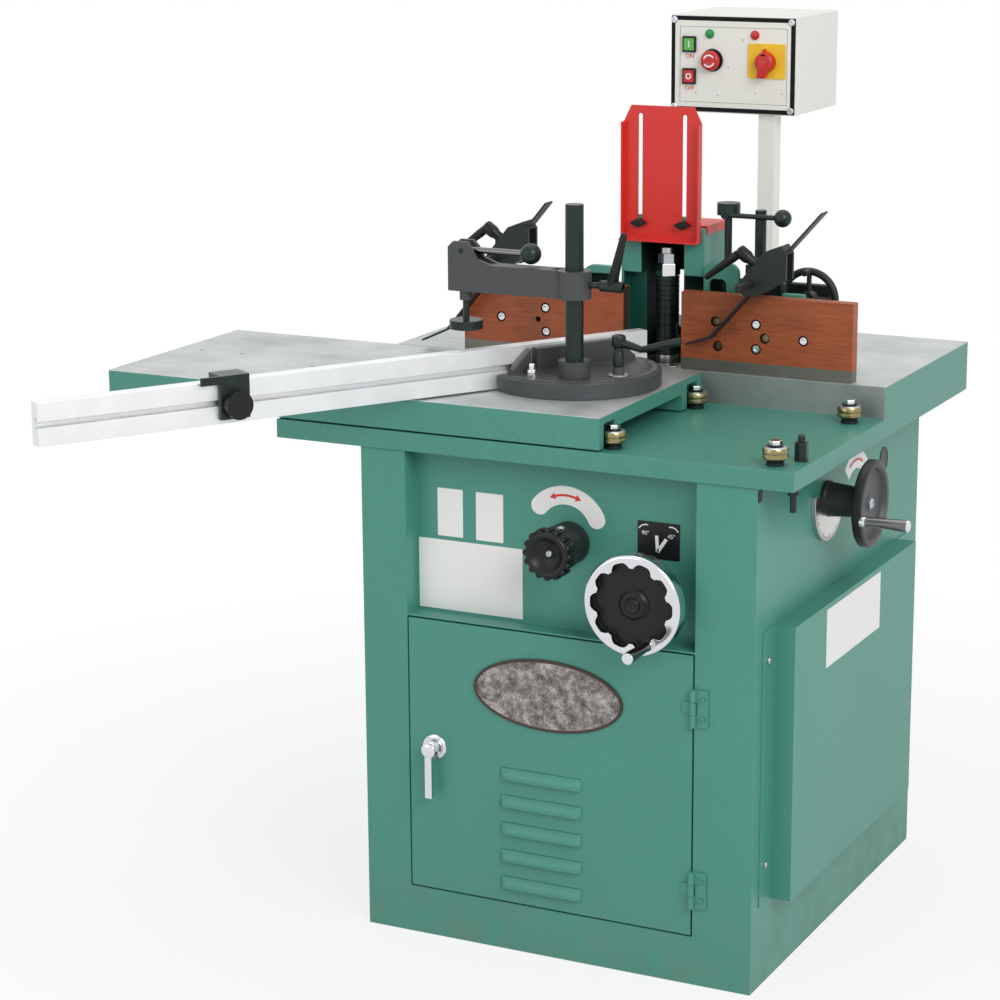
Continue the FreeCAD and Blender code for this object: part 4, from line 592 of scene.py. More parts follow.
# %% Main table
SPINDLE = (-0.014, 0.095)
table = block("main_table_casting", (-0.474, -0.368, CABINET_TOP), (0.383, 0.437, SHELF))
sawn(table, "y", STEP)
pushed(table, lambda at, normal: normal.z > FACING and at.y > STEP, z=TABLE_TOP - SHELF)
rimmed(table, lambda at, normal: normal.z < -FACING and at.y > STEP, 0.02, z=0.051)
cut(table, drum("ring_seat", 0.07, (*SPINDLE, 0.8), 0.1, "z", 96))
finished(table, 0.0014, 2, main_casting, "frame", "green_paint", ["main_table"])
print("main table:", len(table.data.polygons), "faces")

# %% [markdown]
# The hood behind the spindle gathers the chips. Seen from the front it is two green cheeks and a roof, with a
# dust port behind and a wing for each board. Here the box is pushed in from the front, so the cheeks stay thick
# as in a casting. The right cheek ends high above the table and the left one steps back below, so two blocks
# cut those parts away. A drum cuts the hole of the port. The faces inside wear a darker paint as painted shade.


# %% Fence hood
def second_finish(piece, finish, test):
    piece.data.materials.append(finish)
    for face in piece.data.polygons:
        if test(face.center, face.normal):
            face.material_index = len(piece.data.materials) - 1


LEFT_CHEEK, RIGHT_CHEEK, ROOF = -0.048, 0.026, 1.06
hood = block("hood", (-0.083, 0.0653, TABLE_TOP), (0.061, 0.1603, 1.083))
sawn(hood, "x", LEFT_CHEEK, RIGHT_CHEEK)
sawn(hood, "z", ROOF)
pushed(hood, lambda at, normal: front(at, normal) and LEFT_CHEEK < at.x < RIGHT_CHEEK and at.z < ROOF, y=0.083)
opened(hood, lambda at, normal: abs(normal.z) > FACING and LEFT_CHEEK < at.x < RIGHT_CHEEK and at.z < 0.865)
cut(hood, block("under_cheek", (0.0255, 0.06, 0.86), (0.07, 0.1483, 1.006)))
cut(hood, block("left_step", (-0.079, 0.06, 0.86), (-0.047, 0.088, 1.006)))
cut(hood, drum("port_hole", 0.047, (-0.011, 0.146, 0.954), 0.03, "y", 64))
finished(hood, 0.002, 3, *GREEN_FRAME, ["fence_hood"])
# The faces inside the hood are painted near black: painted shade of the hollow between the cheeks.
inner_hood_painted_shade = dark_skin("inner_hood_painted_shade_paint", (0.004, 0.016, 0.013), 0.7, 300.0, 0.0003, (0.01, 0.02, 0.02),
                        shine=0.12)
second_finish(hood, inner_hood_painted_shade, lambda at, normal: -0.05 < at.x < 0.0605 and 0.0675 < at.y < 0.1495
              and at.z < 1.0605)
# The stepped-back lower panel of the left cheek is painted dark green: painted shade under the cheek's upper
# block.
left_cheek_painted_shade = dark_skin("left_cheek_painted_shade_paint", (0.008, 0.075, 0.058), 0.5, 300.0, 0.0003, (0.01, 0.06, 0.05),
                       shine=0.25)
second_finish(hood, left_cheek_painted_shade, lambda at, normal: -0.08 < at.x < -0.047 and 0.07 < at.y < 0.0895
              and at.z < 1.0061)
port = drum("dust_port", 0.05, (-0.011, 0.1595, 0.954), 0.0458, "y", 64)
opened(port, lambda at, normal: abs(normal.y) > FACING)
applied(port, "SOLIDIFY", thickness=0.003, offset=-1.0)
finished(port, 0.0008, 2, *GREEN_FRAME)
print("hood and port:", len(hood.data.polygons), len(port.data.polygons), "faces")

# %% Hood arm, side plate in painted shade, tab and left wing
BLACK_FRAME = (black_casting, "frame", "black_casting")
slab("hood_arm", (0.06, 0.15, 0.956), (0.245, 0.165, 0.992), 0.003, 3, *BLACK_FRAME)
# A thin plate beside the right cheek wears the hood's near-black painted shade: a dark sheet for the shadow
# between the cheek and the board.
slab("side_plate_painted_shade", (0.0258, 0.067, 0.92), (0.028, 0.149, 1.007), 0.0006, 2, inner_hood_painted_shade, "frame",
     "black_casting")
slab("guard_tab", (-0.061, 0.0653, 1.08), (0.039, 0.0733, 1.1), 0.0015, 2, *GREEN_FRAME)
WING_FOOT = 0.876
wing = block("left_wing", (-0.338, 0.0483, TABLE_TOP), (-0.083, 0.0603, 0.96))
sawn(wing, "z", WING_FOOT)
pushed(wing, lambda at, normal: normal.y > FACING and at.z < WING_FOOT, y=0.09)
finished(wing, 0.002, 2, *GREEN_FRAME)
print("arm, tab and wing on the frame")

# %% [markdown]
# Grips, hubs, lamps and screw heads are turned pieces. They could be drums with bevels, but a lathe is closer
# to how they are made: one corner is pulled along half the outline, from the middle out and back, and the
# outline is spun round its axis. A part of a turn gives a dial or a curved plate. Outlines are written in
# millimetres, as on a drawing.


# %% A lathe, a curved plate and copies
MM = 0.001


def lay(piece, matrix):
    only(piece)
    piece.matrix_world = matrix
    settle()
    return piece


def turned(name, outline, foot, axis, steps, *dress, begin=0.0, sweep=360.0):
    """Half an outline, as radius and height in millimetres, is spun round the axis that starts at the foot."""
    clear_selection()
    bpy.ops.mesh.primitive_plane_add(size=MM, location=(0, 0, 0))
    piece = bpy.context.object
    piece.name = name
    bpy.context.tool_settings.mesh_select_mode = (True, False, False)
    bpy.ops.object.mode_set(mode="EDIT")
    bpy.ops.mesh.select_all(action="SELECT")
    bpy.ops.mesh.merge(type="CENTER")
    points = [(radius * MM, height * MM) for radius, height in outline]
    bpy.ops.transform.translate(value=(points[0][0], 0, points[0][1]))
    for (r0, h0), (r1, h1) in zip(points, points[1:]):
        pull(x=r1 - r0, z=h1 - h0)
    bpy.ops.mesh.select_all(action="SELECT")
    bpy.ops.mesh.spin(steps=steps, angle=-math.radians(sweep), center=(0, 0, 0), axis=(0, 0, 1))
    bpy.ops.mesh.select_all(action="SELECT")
    bpy.ops.mesh.remove_doubles(threshold=0.00001)
    bpy.ops.mesh.normals_make_consistent(inside=False)
    done()
    upright = Euler(ALONG[axis]).to_matrix().to_4x4()
    lay(piece, Matrix.Translation(foot) @ upright @ Matrix.Rotation(math.radians(begin), 4, "Z"))
    bpy.ops.object.shade_smooth_by_angle(angle=math.radians(32))
    return wear(piece, *dress) if dress else piece


def curved_plate(name, inner, outer, centre, axis, begin, sweep, thickness, *dress):
    piece = turned(name, [(inner, 0), (outer, 0)], centre, axis, 40, begin=begin, sweep=sweep)
    applied(piece, "SOLIDIFY", thickness=thickness * MM, offset=0.0)
    bpy.ops.object.shade_smooth_by_angle(angle=math.radians(32))
    return wear(piece, *dress) if dress else piece


def another(piece, name, place, body):
    """A copy with its own mesh, laid by a matrix or moved by three lengths."""
    twin = bpy.data.objects.new(name, piece.data.copy())
    bpy.context.scene.collection.objects.link(twin)
    lay(twin, place if isinstance(place, Matrix) else Matrix.Translation(place))
    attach(twin, body)
    return twin


def row_of(stem, outline, places, axis, steps, finish, body, slot):
    """A turned piece at the first place and a copy of it at each other place."""
    first = turned(f"{stem}_1", outline, places[0], axis, steps, finish, body, slot)
    for number, place in enumerate(places[1:], 2):
        another(first, f"{stem}_{number}", Vector(place) - Vector(places[0]), body)


def turned_about(point, axis, degrees):
    point = Vector(point)
    turn = Matrix.Rotation(math.radians(degrees), 4, axis)
    return Matrix.Translation(point) @ turn @ Matrix.Translation(-point)


def swell(share, centre):
    bpy.ops.transform.resize(value=share, center_override=centre)


print("lathe ready")

# %% [markdown]
# The tilt hand wheel has a thick chromed rim. Its black middle lies deep behind an inner edge of ten rounded
# lobes, which give the fingers a hold. The rim is a drum whose front is inset and pushed in; the corners of the
# inner edge are then drawn towards the middle in ten waves.

# %% Tilt hand wheel
WHEEL_X, WHEEL_Z, LOBES = 0.15, 0.598, 10


def wave(at):
    return math.cos(LOBES * math.atan2(at.z - WHEEL_Z, at.x - WHEEL_X))


def reach(at):
    return math.hypot(at.x - WHEEL_X, at.z - WHEEL_Z)


rim = drum("tilt_wheel_rim", 0.077, (WHEEL_X, -0.412, WHEEL_Z), 0.027, "y", 120)
rimmed(rim, front, 0.0115, y=0.012)
for low, high, share in ((-1.1, -0.85, 0.87), (-0.85, -0.55, 0.892), (-0.55, -0.2, 0.93), (-0.2, 0.15, 0.975)):
    pick(rim, lambda at, normal: abs(reach(at) - 0.0655) < 0.001 and low <= wave(at) < high, "corners")
    swell((share, 1, share), (WHEEL_X, -0.4, WHEEL_Z))
    done()
pick(rim, lambda at, along: reach(at) > 0.075 and abs(along.y) < 0.0001, "edges")
bpy.ops.mesh.bevel(offset=0.005, segments=5)
done()
finished(rim, 0.001, 3, chrome, "tilt_wheel", "chrome", ["tilt_wheel"], angle=45)
second_finish(rim, black_plastic, lambda at, normal: reach(at) < 0.0665 and -0.4118 < at.y < -0.39
              and normal.y < FACING)
turned("tilt_wheel_hub", [(0, 1.5), (7, 1.5), (8.2, 0.4), (10, 0), (11.2, 1.2), (12, 3.4), (16.5, 3.8),
                          (19.5, 4.6), (21.5, 7.2), (24, 8.5), (24, 25), (9, 25.8), (9, 145), (0, 145)],
       (WHEEL_X, -0.41, WHEEL_Z), "y", 64, black_plastic, "tilt_wheel", "black_plastic")
print("tilt wheel:", len(rim.data.polygons), "faces on the rim")

# %% [markdown]
# Both hand wheels have a turning grip: a slim dark handle, thicker at its free end, closed by a bright cap. One
# outline does for both; the second is turned along the other axis.

# %% Grips of the hand wheels
GRIP = [(0, 0), (6.8, 0), (8.5, 1.2), (9, 3), (9, 14), (8, 40), (7.2, 62), (8, 68), (8.5, 70), (8.5, 76.5),
        (4.6, 77), (4.6, 88), (0, 88)]
tilt_grip = turned("tilt_grip_handle", GRIP, (0.17815, -0.488, 0.54276), "y", 40, dark_chrome, "tilt_grip",
                   "black_plastic", ["tilt_wheel_grip"])
second_finish(tilt_grip, chrome, lambda at, normal: at.y < -0.4852 or at.y > -0.4195)
lift_grip = turned("lift_grip_handle", [(radius, -height) for radius, height in GRIP],
                   (0.4803, -0.1395, 0.6915), "x", 40, dark_chrome, "lift_grip", "black_plastic",
                   ["lift_wheel_grip"])
second_finish(lift_grip, chrome, lambda at, normal: at.x > 0.4775 or at.x < 0.4118)
print("grips:", tilt_grip.name, lift_grip.name)

# %% [markdown]
# The lock knob is a moulded hand knob with sixteen teeth for the fingers and a deep dished face with a screw in
# it. It stands on a dark drum that reaches to the panel. The dish is one lathe outline. A tooth is a slim
# rounded rod, sunk half into the edge, and fifteen copies of it are turned round the middle.


# %% Lock knob
def screw_outline(radius, height):
    return [(0, height * 0.45), (radius * 0.4, height * 0.45), (radius * 0.46, height),
            (radius * 0.78, height), (radius, height * 0.62), (radius, 0), (0, 0)]


KNOB_X, KNOB_Z, TEETH = 0.013, 0.66, 16
KNOB_BLACK = (black_plastic, "lock_knob", "black_plastic")
ZINC_FRAME = (zinc, "frame", "bright_steel")
knob = turned("lock_knob_dish", [(0, 15), (7, 15), (9, 13.5), (17, 11.5), (24.5, 5), (27.5, 1.6), (30.5, 0.4),
                                 (33, 1), (35, 3.5), (35.2, 27), (33, 30.5), (0, 30.5)],
              (KNOB_X, -0.416, KNOB_Z), "y", 96, *KNOB_BLACK, ["lock_knob"])
tooth = turned("lock_knob_tooth_1", [(0, 0), (3, 0.4), (4.5, 2), (5, 5), (5, 21.5), (4, 24.5), (0, 25.2)],
               (KNOB_X, -0.4135, KNOB_Z + 0.0352), "y", 20, *KNOB_BLACK)
for number in range(1, TEETH):
    place = turned_about((KNOB_X, -0.4, KNOB_Z), "Y", number * 360 / TEETH)
    another(tooth, f"lock_knob_tooth_{number + 1}", place, "lock_knob")
turned("lock_knob_screw", screw_outline(5.2, -4), (KNOB_X, -0.4005, KNOB_Z), "y", 24, zinc, "lock_knob",
       "bright_steel")
turned("lock_knob_drum", [(0, 0), (28, 0), (30, 1.8), (30.5, 4), (31.5, 40.5), (0, 40.5)],
       (KNOB_X, -0.3855, KNOB_Z), "y", 64, *BLACK_FRAME)
turned("drum_screw", screw_outline(6, 4.5), (KNOB_X + 0.004, -0.37, KNOB_Z + 0.03), "z", 24, *ZINC_FRAME)
print("lock knob:", len(knob.data.polygons), "faces")

# %% [markdown]
# The lift hand wheel on the right wall is a plain dished wheel in dark grey with a black edge and a pale screw
# in its middle. Behind it, on the wall, sits a bright dial with divisions. The wheel is one lathe outline, and
# the dial is part of a turn with small raised marks.

# %% Lift hand wheel and its dial
LIFT_Y, LIFT_Z = -0.081, 0.705
PLASTIC_FRAME = (black_plastic, "frame", "black_plastic")
lift_face = turned("lift_wheel_dish", [(0, 18), (12, 18), (14, 16.5), (49, 16), (52.5, 18), (54.5, 23.5),
                                       (56.2, 25.5), (64, 25.8), (66.4, 24.6), (67.2, 22.2), (67.2, 13),
                                       (65.5, 11.2), (58, 10), (28, 9), (20, 0), (9, -1), (9, -120),
                                       (0, -120)], (0.38, LIFT_Y, LIFT_Z), "x", 96, black_plastic,
                   "lift_wheel", "black_plastic", ["lift_wheel"])
second_finish(lift_face, arm_casting, lambda at, normal: at.x > 0.3955 and normal.x > 0.3
              and math.hypot(at.y - LIFT_Y, at.z - LIFT_Z) < 0.0555)
turned("lift_wheel_sleeve", [(11, 0), (28.5, 0), (28.5, 6), (26.5, 8.5), (24, 40), (21.5, 50.5), (11, 51),
                             (11, 0)], (0.3268, LIFT_Y, LIFT_Z), "x", 64, *BLACK_FRAME)
turned("lift_wheel_screw", screw_outline(8.5, 4.5), (0.3975, LIFT_Y, LIFT_Z), "x", 32, zinc, "lift_wheel",
       "bright_steel")
dial = curved_plate("lift_dial", 20, 64, (0.3305, LIFT_Y, LIFT_Z), "x", -104, 198, 8)
finished(dial, 0.0006, 2, bright_steel, "frame", "bright_steel", angle=50)
MARK, MARK_FOOT = 0.3344, LIFT_Z - 0.063
marks = {}
for kind, half, length in (("short", 0.0004, 0.0055), ("long", 0.0005, 0.009)):
    low, high = (MARK, LIFT_Y - half, MARK_FOOT), (MARK + 0.0004, LIFT_Y + half, MARK_FOOT + length)
    marks[kind] = slab(f"lift_dial_mark_{kind}", low, high, 0.0001, 1, *PLASTIC_FRAME)


def dial_turn(step):
    return turned_about((0, LIFT_Y, LIFT_Z), "X", step * 6)


for step in range(-16, 15):
    if step not in (0, 1):
        pattern = marks["short" if step % 5 else "long"]
        another(pattern, f"lift_dial_mark_{step + 17}", dial_turn(step), "frame")
lay(marks["short"], dial_turn(1))
print("dial with", 31, "divisions")

# %% [markdown]
# The door carries an oval metal plate with a mottled antique face inside a narrow rim. A drum is drawn wide to
# an oval, its front is inset for the rim and pushed in, and the rim's edge is rounded.

# %% Oval plate on the door
plate_metal, tree, place = begin_finish("mottled_plate_metal")
swirls = cloud(tree, place, 52.0, 6.0, 0.7)
tone = ramped(tree, swirls * 0.75 + cloud(tree, place, 260.0, 4.0) * 0.25, (0.38, (0.075, 0.062, 0.06)),
              (0.5, (0.23, 0.205, 0.2)), (0.62, (0.5, 0.47, 0.46)))
end_finish(tree, {"Base Color": tone, "Metallic": 0.5, "Roughness": 0.34 + swirls * 0.2,
                  "Normal": bumped(tree, swirls, 0.004, 0.5)})
rim_metal = dark_skin("plate_rim_metal", (0.07, 0.05, 0.042), 0.4, 300.0, 0.0004, (0.24, 0.2, 0.17), 0.45)
OVAL_X, OVAL_Z, OVAL_WIDE, OVAL_HIGH = -0.0083, 0.425, 0.125, 0.0565
oval = drum("oval_door_plate", OVAL_HIGH, (OVAL_X, -0.3675, OVAL_Z), 0.0045, "y", 128)
pick(oval, everything)
swell((OVAL_WIDE / OVAL_HIGH, 1, 1), (OVAL_X, -0.3655, OVAL_Z))
done()
pick(oval, front)
bpy.ops.mesh.inset(thickness=0.0036)
bpy.ops.mesh.inset(thickness=0.0012, depth=-0.0011)
done()
finished(oval, 0.0008, 3, rim_metal, "door", "bright_steel", angle=40)
second_finish(oval, plate_metal, lambda at, normal: front(at, normal) and at.y > -0.3667)
print("oval plate:", len(oval.data.polygons), "faces")

# %% [markdown]
# Five louvres let air into the cabinet. A press lances each one: the sheet is slit along the lower edge and
# bulged out above it, so the top and the ends run smoothly into the door and the lower lip stands proud over a
# dark slot. One louvre is shaped from a block, its lip is drawn out below, and it is copied four times upwards.

# %% Louvres
LOUVRE_LEFT, LOUVRE_RIGHT, LOUVRE_LOW, LOUVRE_STEP, LOUVRES = -0.09, 0.049, 0.103, 0.0445, 5
louvre = block("louvre_1", (LOUVRE_LEFT, -0.372, LOUVRE_LOW), (LOUVRE_RIGHT, -0.3635, LOUVRE_LOW + 0.0185))
sawn(louvre, "x", LOUVRE_LEFT + 0.004, LOUVRE_LEFT + 0.011, LOUVRE_RIGHT - 0.004, LOUVRE_RIGHT - 0.011)
sawn(louvre, "z", LOUVRE_LOW + 0.006, LOUVRE_LOW + 0.013)


def from_end(at):
    return min(at.x - LOUVRE_LEFT, LOUVRE_RIGHT - at.x)


for depth, test in ((0.008, lambda at, normal: at.y < -0.37 and at.z > LOUVRE_LOW + 0.018),
                    (0.0078, lambda at, normal: at.y < -0.37 and from_end(at) < 0.001),
                    (0.003, lambda at, normal: at.y < -0.37 and abs(at.z - LOUVRE_LOW - 0.013) < 0.0005),
                    (0.0028, lambda at, normal: at.y < -0.368 and 0.001 < from_end(at) < 0.006)):
    pick(louvre, test, "corners")
    bpy.ops.transform.translate(value=(0, depth, 0))
    done()
finished(louvre, 0.0012, 3, green_paint, "door", "green_paint", angle=20)
# The louvre's underside is painted black: painted shade of the slot below the lip.
second_finish(louvre, black_plastic, lambda at, normal: normal.z < -FACING)
for number in range(1, LOUVRES):
    another(louvre, f"louvre_{number + 1}", (0, 0, LOUVRE_STEP * number), "door")
print("louvres:", LOUVRES, "with", len(louvre.data.polygons), "faces each")

# %% [markdown]
# The door's handle is a chromed lever on a round rosette, and each hinge leaf is held by two screws. The lever
# comes from the model; the rosette, a bright cap on its neck and the screws are turned.

# %% Door furniture
HANDLE_X, HANDLE_Z = -0.2035, 0.315
turned("handle_rosette", [(16.3, 0), (20.5, 0), (20.5, -2.2), (19, -4.2), (16.3, -5), (16.3, 0)],
       (HANDLE_X, -0.364, HANDLE_Z), "y", 64, chrome, "door", "chrome")
turned("handle_cap", [(0, -3), (6, -2.8), (10, -1.8), (11.8, 0), (11.8, 2), (0, 2)],
       (HANDLE_X, -0.3878, HANDLE_Z), "y", 48, chrome, "handle", "chrome")
hinge_places = [(0.2465, -0.369, z) for z in (0.139, 0.169, 0.425, 0.455)]
row_of("hinge_screw", screw_outline(3.8, -1.6), hinge_places, "y", 20, *GREEN_FRAME)
print("rosette and hinge screws")

# %% [markdown]
# The panel has three blank plates, a curved scale with a double arrow over the lock knob, and a black plate
# with the tilt pointer and its two angles. They are films and thin sheets, so each stands about a
# millimetre proud or less, with a softened edge.

# %% Plates on the panel
PANEL = -0.33
plate_film = machine_paint("blank_plate_film", (0.87, 0.87, 0.85), 0.32, 900.0, 0.03, 0.15)
FILM_FRAME = (plate_film, "frame", "white_paint")
RED_FRAME = (red_paint, "frame", "red_paint")


def rounded_plate(name, low, high, corner, segments):
    piece = block(name, low, high)
    pick(piece, lambda at, along: abs(along.y) > FACING * along.length, "edges")
    bpy.ops.mesh.bevel(offset=corner, segments=segments)
    done()
    return piece


def film(name, low, high, *dress, corner=0.0015):
    """A thin plate that faces the front: low and high are opposite corners in x, y and z."""
    piece = rounded_plate(name, low, high, corner, 4)
    rimmed(piece, front, 0.0004)
    return finished(piece, 0.00015, 2, *dress, angle=40)


for name, left, right, low, high in (("wide_blank_plate", -0.245, -0.0665, 0.529, 0.64),
                                     ("left_blank_plate", -0.2115, -0.168, 0.6465, 0.722),
                                     ("right_blank_plate", -0.1455, -0.099, 0.646, 0.7215)):
    film(name, (left, PANEL - 0.0008, low), (right, PANEL + 0.0002, high), *FILM_FRAME)
film("pointer_plate", (0.1245, PANEL - 0.0012, 0.651), (0.192, PANEL + 0.0002, 0.707), *PLASTIC_FRAME)
print("plates on the panel:", 4)

# %% Curved scale and pointer
ARC_X, ARC_Z = 0.006, 0.676


def on_arc(radius, degrees, proud):
    angle = math.radians(degrees)
    return ARC_X + radius * math.cos(angle), PANEL - proud, ARC_Z + radius * math.sin(angle)


curved_plate("arc_scale", 42, 70.5, (ARC_X, PANEL, ARC_Z), "y", -140, 115, 1.4, *FILM_FRAME)
for side, angle in (("left", 140), ("right", 25)):
    turned(f"arc_scale_{side}_end", [(0, 0), (14.25, 0), (14.25, 1.2), (0, 1.2)],
           on_arc(0.05625, angle, 0.00065), "y", 40, *FILM_FRAME)
curved_plate("tilt_arrow", 54.5, 58, (ARC_X, PANEL - 0.0008, ARC_Z), "y", -108, 36, 0.7, *RED_FRAME)
for side, angle, facing in (("left", 111, 201), ("right", 69, -21)):
    head = drum(f"tilt_arrow_{side}", 0.0062, (0, 0, -0.0004), 0.0008, "z", 3)
    aim = Matrix.Rotation(math.radians(-facing), 4, "Y") @ Euler(ALONG["y"]).to_matrix().to_4x4()
    lay(head, Matrix.Translation(on_arc(0.0563, angle, 0.0008)) @ aim
        @ Matrix.Rotation(math.radians(-90), 4, "Z"))
    finished(head, 0.0002, 2, *RED_FRAME)


def lettering(name, words, place, size, *dress):
    clear_selection()
    bpy.ops.object.text_add(location=place, rotation=(math.pi / 2, 0, 0))
    piece = bpy.context.object
    piece.name = name
    piece.data.body, piece.data.size, piece.data.extrude = words, size, 0.0002
    piece.data.align_x, piece.data.align_y = "CENTER", "CENTER"
    bpy.ops.object.convert(target="MESH")
    settle()
    return wear(bpy.context.object, *dress)


lettering("pointer_ninety", "90°", (0.137, PANEL - 0.0013, 0.689), 0.0088, *FILM_FRAME)
lettering("pointer_fortyfive", "45°", (0.179, PANEL - 0.0013, 0.687), 0.0088, *FILM_FRAME)
for name, lean in (("pointer_left", 4), ("pointer_right", -34)):
    stroke = slab(name, (-0.0026, -0.0007, 0), (0.0026, 0.0003, 0.025), 0.0002, 2, *FILM_FRAME)
    lay(stroke, Matrix.Translation((0.157, PANEL - 0.0014, 0.662))
        @ Matrix.Rotation(math.radians(-lean), 4, "Y"))
for side, x, begin in (("left", 0.138, -150), ("right", 0.1785, -105)):
    curved_plate(f"pointer_arc_{side}", 12, 13.8, (x, PANEL - 0.0012, 0.689), "y", begin, 75, 0.6, *FILM_FRAME)
print("scale, arrow and pointer on the panel")

# %% [markdown]
# The right wall has a small curved scale over the hand wheel, a dark oval passage for the hand, and the cover
# below it with a blank plate and its screws. A bolt hangs under the table's lip. The passage is a drum drawn
# tall and pushed in, so it has a lip and a dark bottom.


# %% Pieces on the right wall
def rightward(at, normal):
    return normal.x > FACING


WALL, COVER = 0.3265, 0.3605
curved_plate("wall_scale", 44, 72, (WALL, 0.052, 0.68), "x", 132, 92, 1.4, *FILM_FRAME)
curved_plate("wall_arrow", 56, 60, (WALL + 0.0008, 0.052, 0.68), "x", 148, 60, 0.7, *RED_FRAME)
PASSAGE_Y, PASSAGE_Z = 0.186, 0.709
passage = drum("hand_passage", 0.019, (WALL - 0.0005, PASSAGE_Y, PASSAGE_Z), 0.0016, "x", 48)
pick(passage, everything)
swell((1, 1, 1.15), (WALL, PASSAGE_Y, PASSAGE_Z))
done()
rimmed(passage, rightward, 0.0012, x=-0.0006)
finished(passage, 0.0003, 2, *PLASTIC_FRAME)
cover_plate = block("cover_blank_plate", (COVER - 0.0002, -0.157, 0.46), (COVER + 0.0008, 0.086, 0.552))
rimmed(cover_plate, rightward, 0.0005)
finished(cover_plate, 0.0002, 2, *FILM_FRAME)
cover_places = [(0.329, y, z) for y in (-0.316, 0.288) for z in (0.513, 0.193)]
row_of("cover_screw", screw_outline(5.5, 3.6), cover_places, "x", 24, *ZINC_FRAME)
turned("lip_bolt_1", [(0, 0), (8.5, 0), (8.5, -11), (7, -13), (5, -13.5), (5, -35.5), (4, -37), (0, -37)],
       (0.37, -0.335, CABINET_TOP), "z", 12, black_steel, "frame", "black_steel")
slab("lip_slot", (WALL - 0.0005, -0.362, 0.761), (WALL + 0.0012, -0.347, 0.779), 0.0005, 2, *PLASTIC_FRAME)
print("right wall dressed")

# %% [markdown]
# The control box has a lid with a black seal round it. On the lid sit two square push buttons in black bezels,
# a mushroom stop button, two lamps and a main switch on a yellow plate. Each is a small piece of its own,
# because the buttons move. The seal is a frame: the front of a thin block is inset and pushed in, and the lid
# stands in the hollow.

# %% Lid of the control box
FRONT = 0.43
LID = FRONT - 0.0038
seal = block("box_seal", (-0.154, FRONT - 0.003, 1.227), (0.07, FRONT + 0.001, 1.387))
rimmed(seal, front, 0.0068, y=0.0028)
finished(seal, 0.0006, 2, belt_rubber, "frame", "belt_rubber")
lid = rounded_plate("box_lid", (-0.1468, LID, 1.2342), (0.0628, FRONT + 0.0005, 1.3798), 0.006, 5)
finished(lid, 0.0008, 2, white_paint, "frame", "white_paint")
line_grey = dark_skin("lid_line_grey", (0.3, 0.31, 0.3), 0.5, 500.0, 0.0001)
outline = block("lid_outline", (-0.1375, LID - 0.0003, 1.2425), (0.057, LID + 0.0004, 1.37))
rimmed(outline, front, 0.0007, y=0.0005)
wear(outline, line_grey, "frame", "white_paint")
lid_corners = [(x, FRONT - 0.0028, z) for z in (1.3805, 1.2335) for x in (-0.148, 0.064)]
row_of("lid_screw", screw_outline(5.8, -3.4), lid_corners, "y", 24, *ZINC_FRAME)
RIVETS = ((-0.022, 1.3506), (-0.048, 1.304), (-0.107, 1.258), (-0.067, 1.256), (0.001, 1.262), (0.05, 1.262))
row_of("lid_rivet", screw_outline(2, -1), [(x, LID, z) for x, z in RIVETS], "y", 14, *ZINC_FRAME)
print("lid with its seal and screws")

# %% [markdown]
# A push button is a cap in a bezel. The caps move when they are pressed, so a way is cut for each through the
# bezel and the lid. Lamps are small turned domes in rings.

# %% Push buttons and lamps
BUTTON_X = -0.1195
lit_green = dark_skin("lit_green_cap", (0.1, 0.44, 0.07), 0.32, 700.0, 0.0001, (0.16, 0.52, 0.1), shine=0.5)


def button_block(name, z, half_width, half_height, near, far):
    return block(name, (BUTTON_X - half_width, LID + near, z - half_height),
                 (BUTTON_X + half_width, LID + far, z + half_height))


for word, z, finish, slot in (("on", 1.34, lit_green, "green_plastic"),
                              ("off", 1.286, red_plastic, "red_plastic")):
    bezel = button_block(f"{word}_bezel", z, 0.012, 0.0135, -0.005, 0.0004)
    rimmed(bezel, front, 0.0026, y=0.003)
    finished(bezel, 0.0005, 2, *PLASTIC_FRAME)
    cap = button_block(f"{word}_cap", z, 0.0092, 0.0102, -0.0058, -0.001)
    pick(cap, front)
    bpy.ops.mesh.inset(thickness=0.0014, depth=-0.0004)
    done()
    finished(cap, 0.0006, 2, finish, f"{word}_button", slot, [f"{word}_button"])
    for sheet in (bezel, lid, outline):
        crisp(cut(sheet, button_block("cap_way", z, 0.0095, 0.0105, -0.01, 0.003)))
    lettering(f"{word}_word", word.upper(), (BUTTON_X, LID - 0.0002, z - 0.0205), 0.01, *RED_FRAME)
slab("on_mark", (-0.1206, LID - 0.0059, 1.3345), (-0.1184, LID - 0.005, 1.3455), 0.0003, 2, plate_film,
     "on_button", "white_paint")
turned("off_mark", [(3, 0), (5.2, 0), (5.2, 0.6), (3, 0.6), (3, 0)], (BUTTON_X, LID - 0.0059, 1.286), "y", 32,
       plate_film, "off_button", "white_paint")
LAMP = [(0, -6.5), (3, -6), (5.2, -4.2), (6, -2), (6.2, 0), (0, 0)]
for colour, x, finish in (("green", -0.083, green_plastic), ("red", -0.001, red_plastic)):
    turned(f"{colour}_lamp", LAMP, (x, LID - 0.0012, 1.358), "y", 32, finish, "frame", f"{colour}_plastic")
    turned(f"{colour}_lamp_ring", [(6, 0.5), (8, 0.5), (8, -1.2), (7.2, -2), (6, -2), (6, 0.5)],
           (x, LID, 1.358), "y", 32, finish, "frame", f"{colour}_plastic")
print("buttons and lamps on the lid")

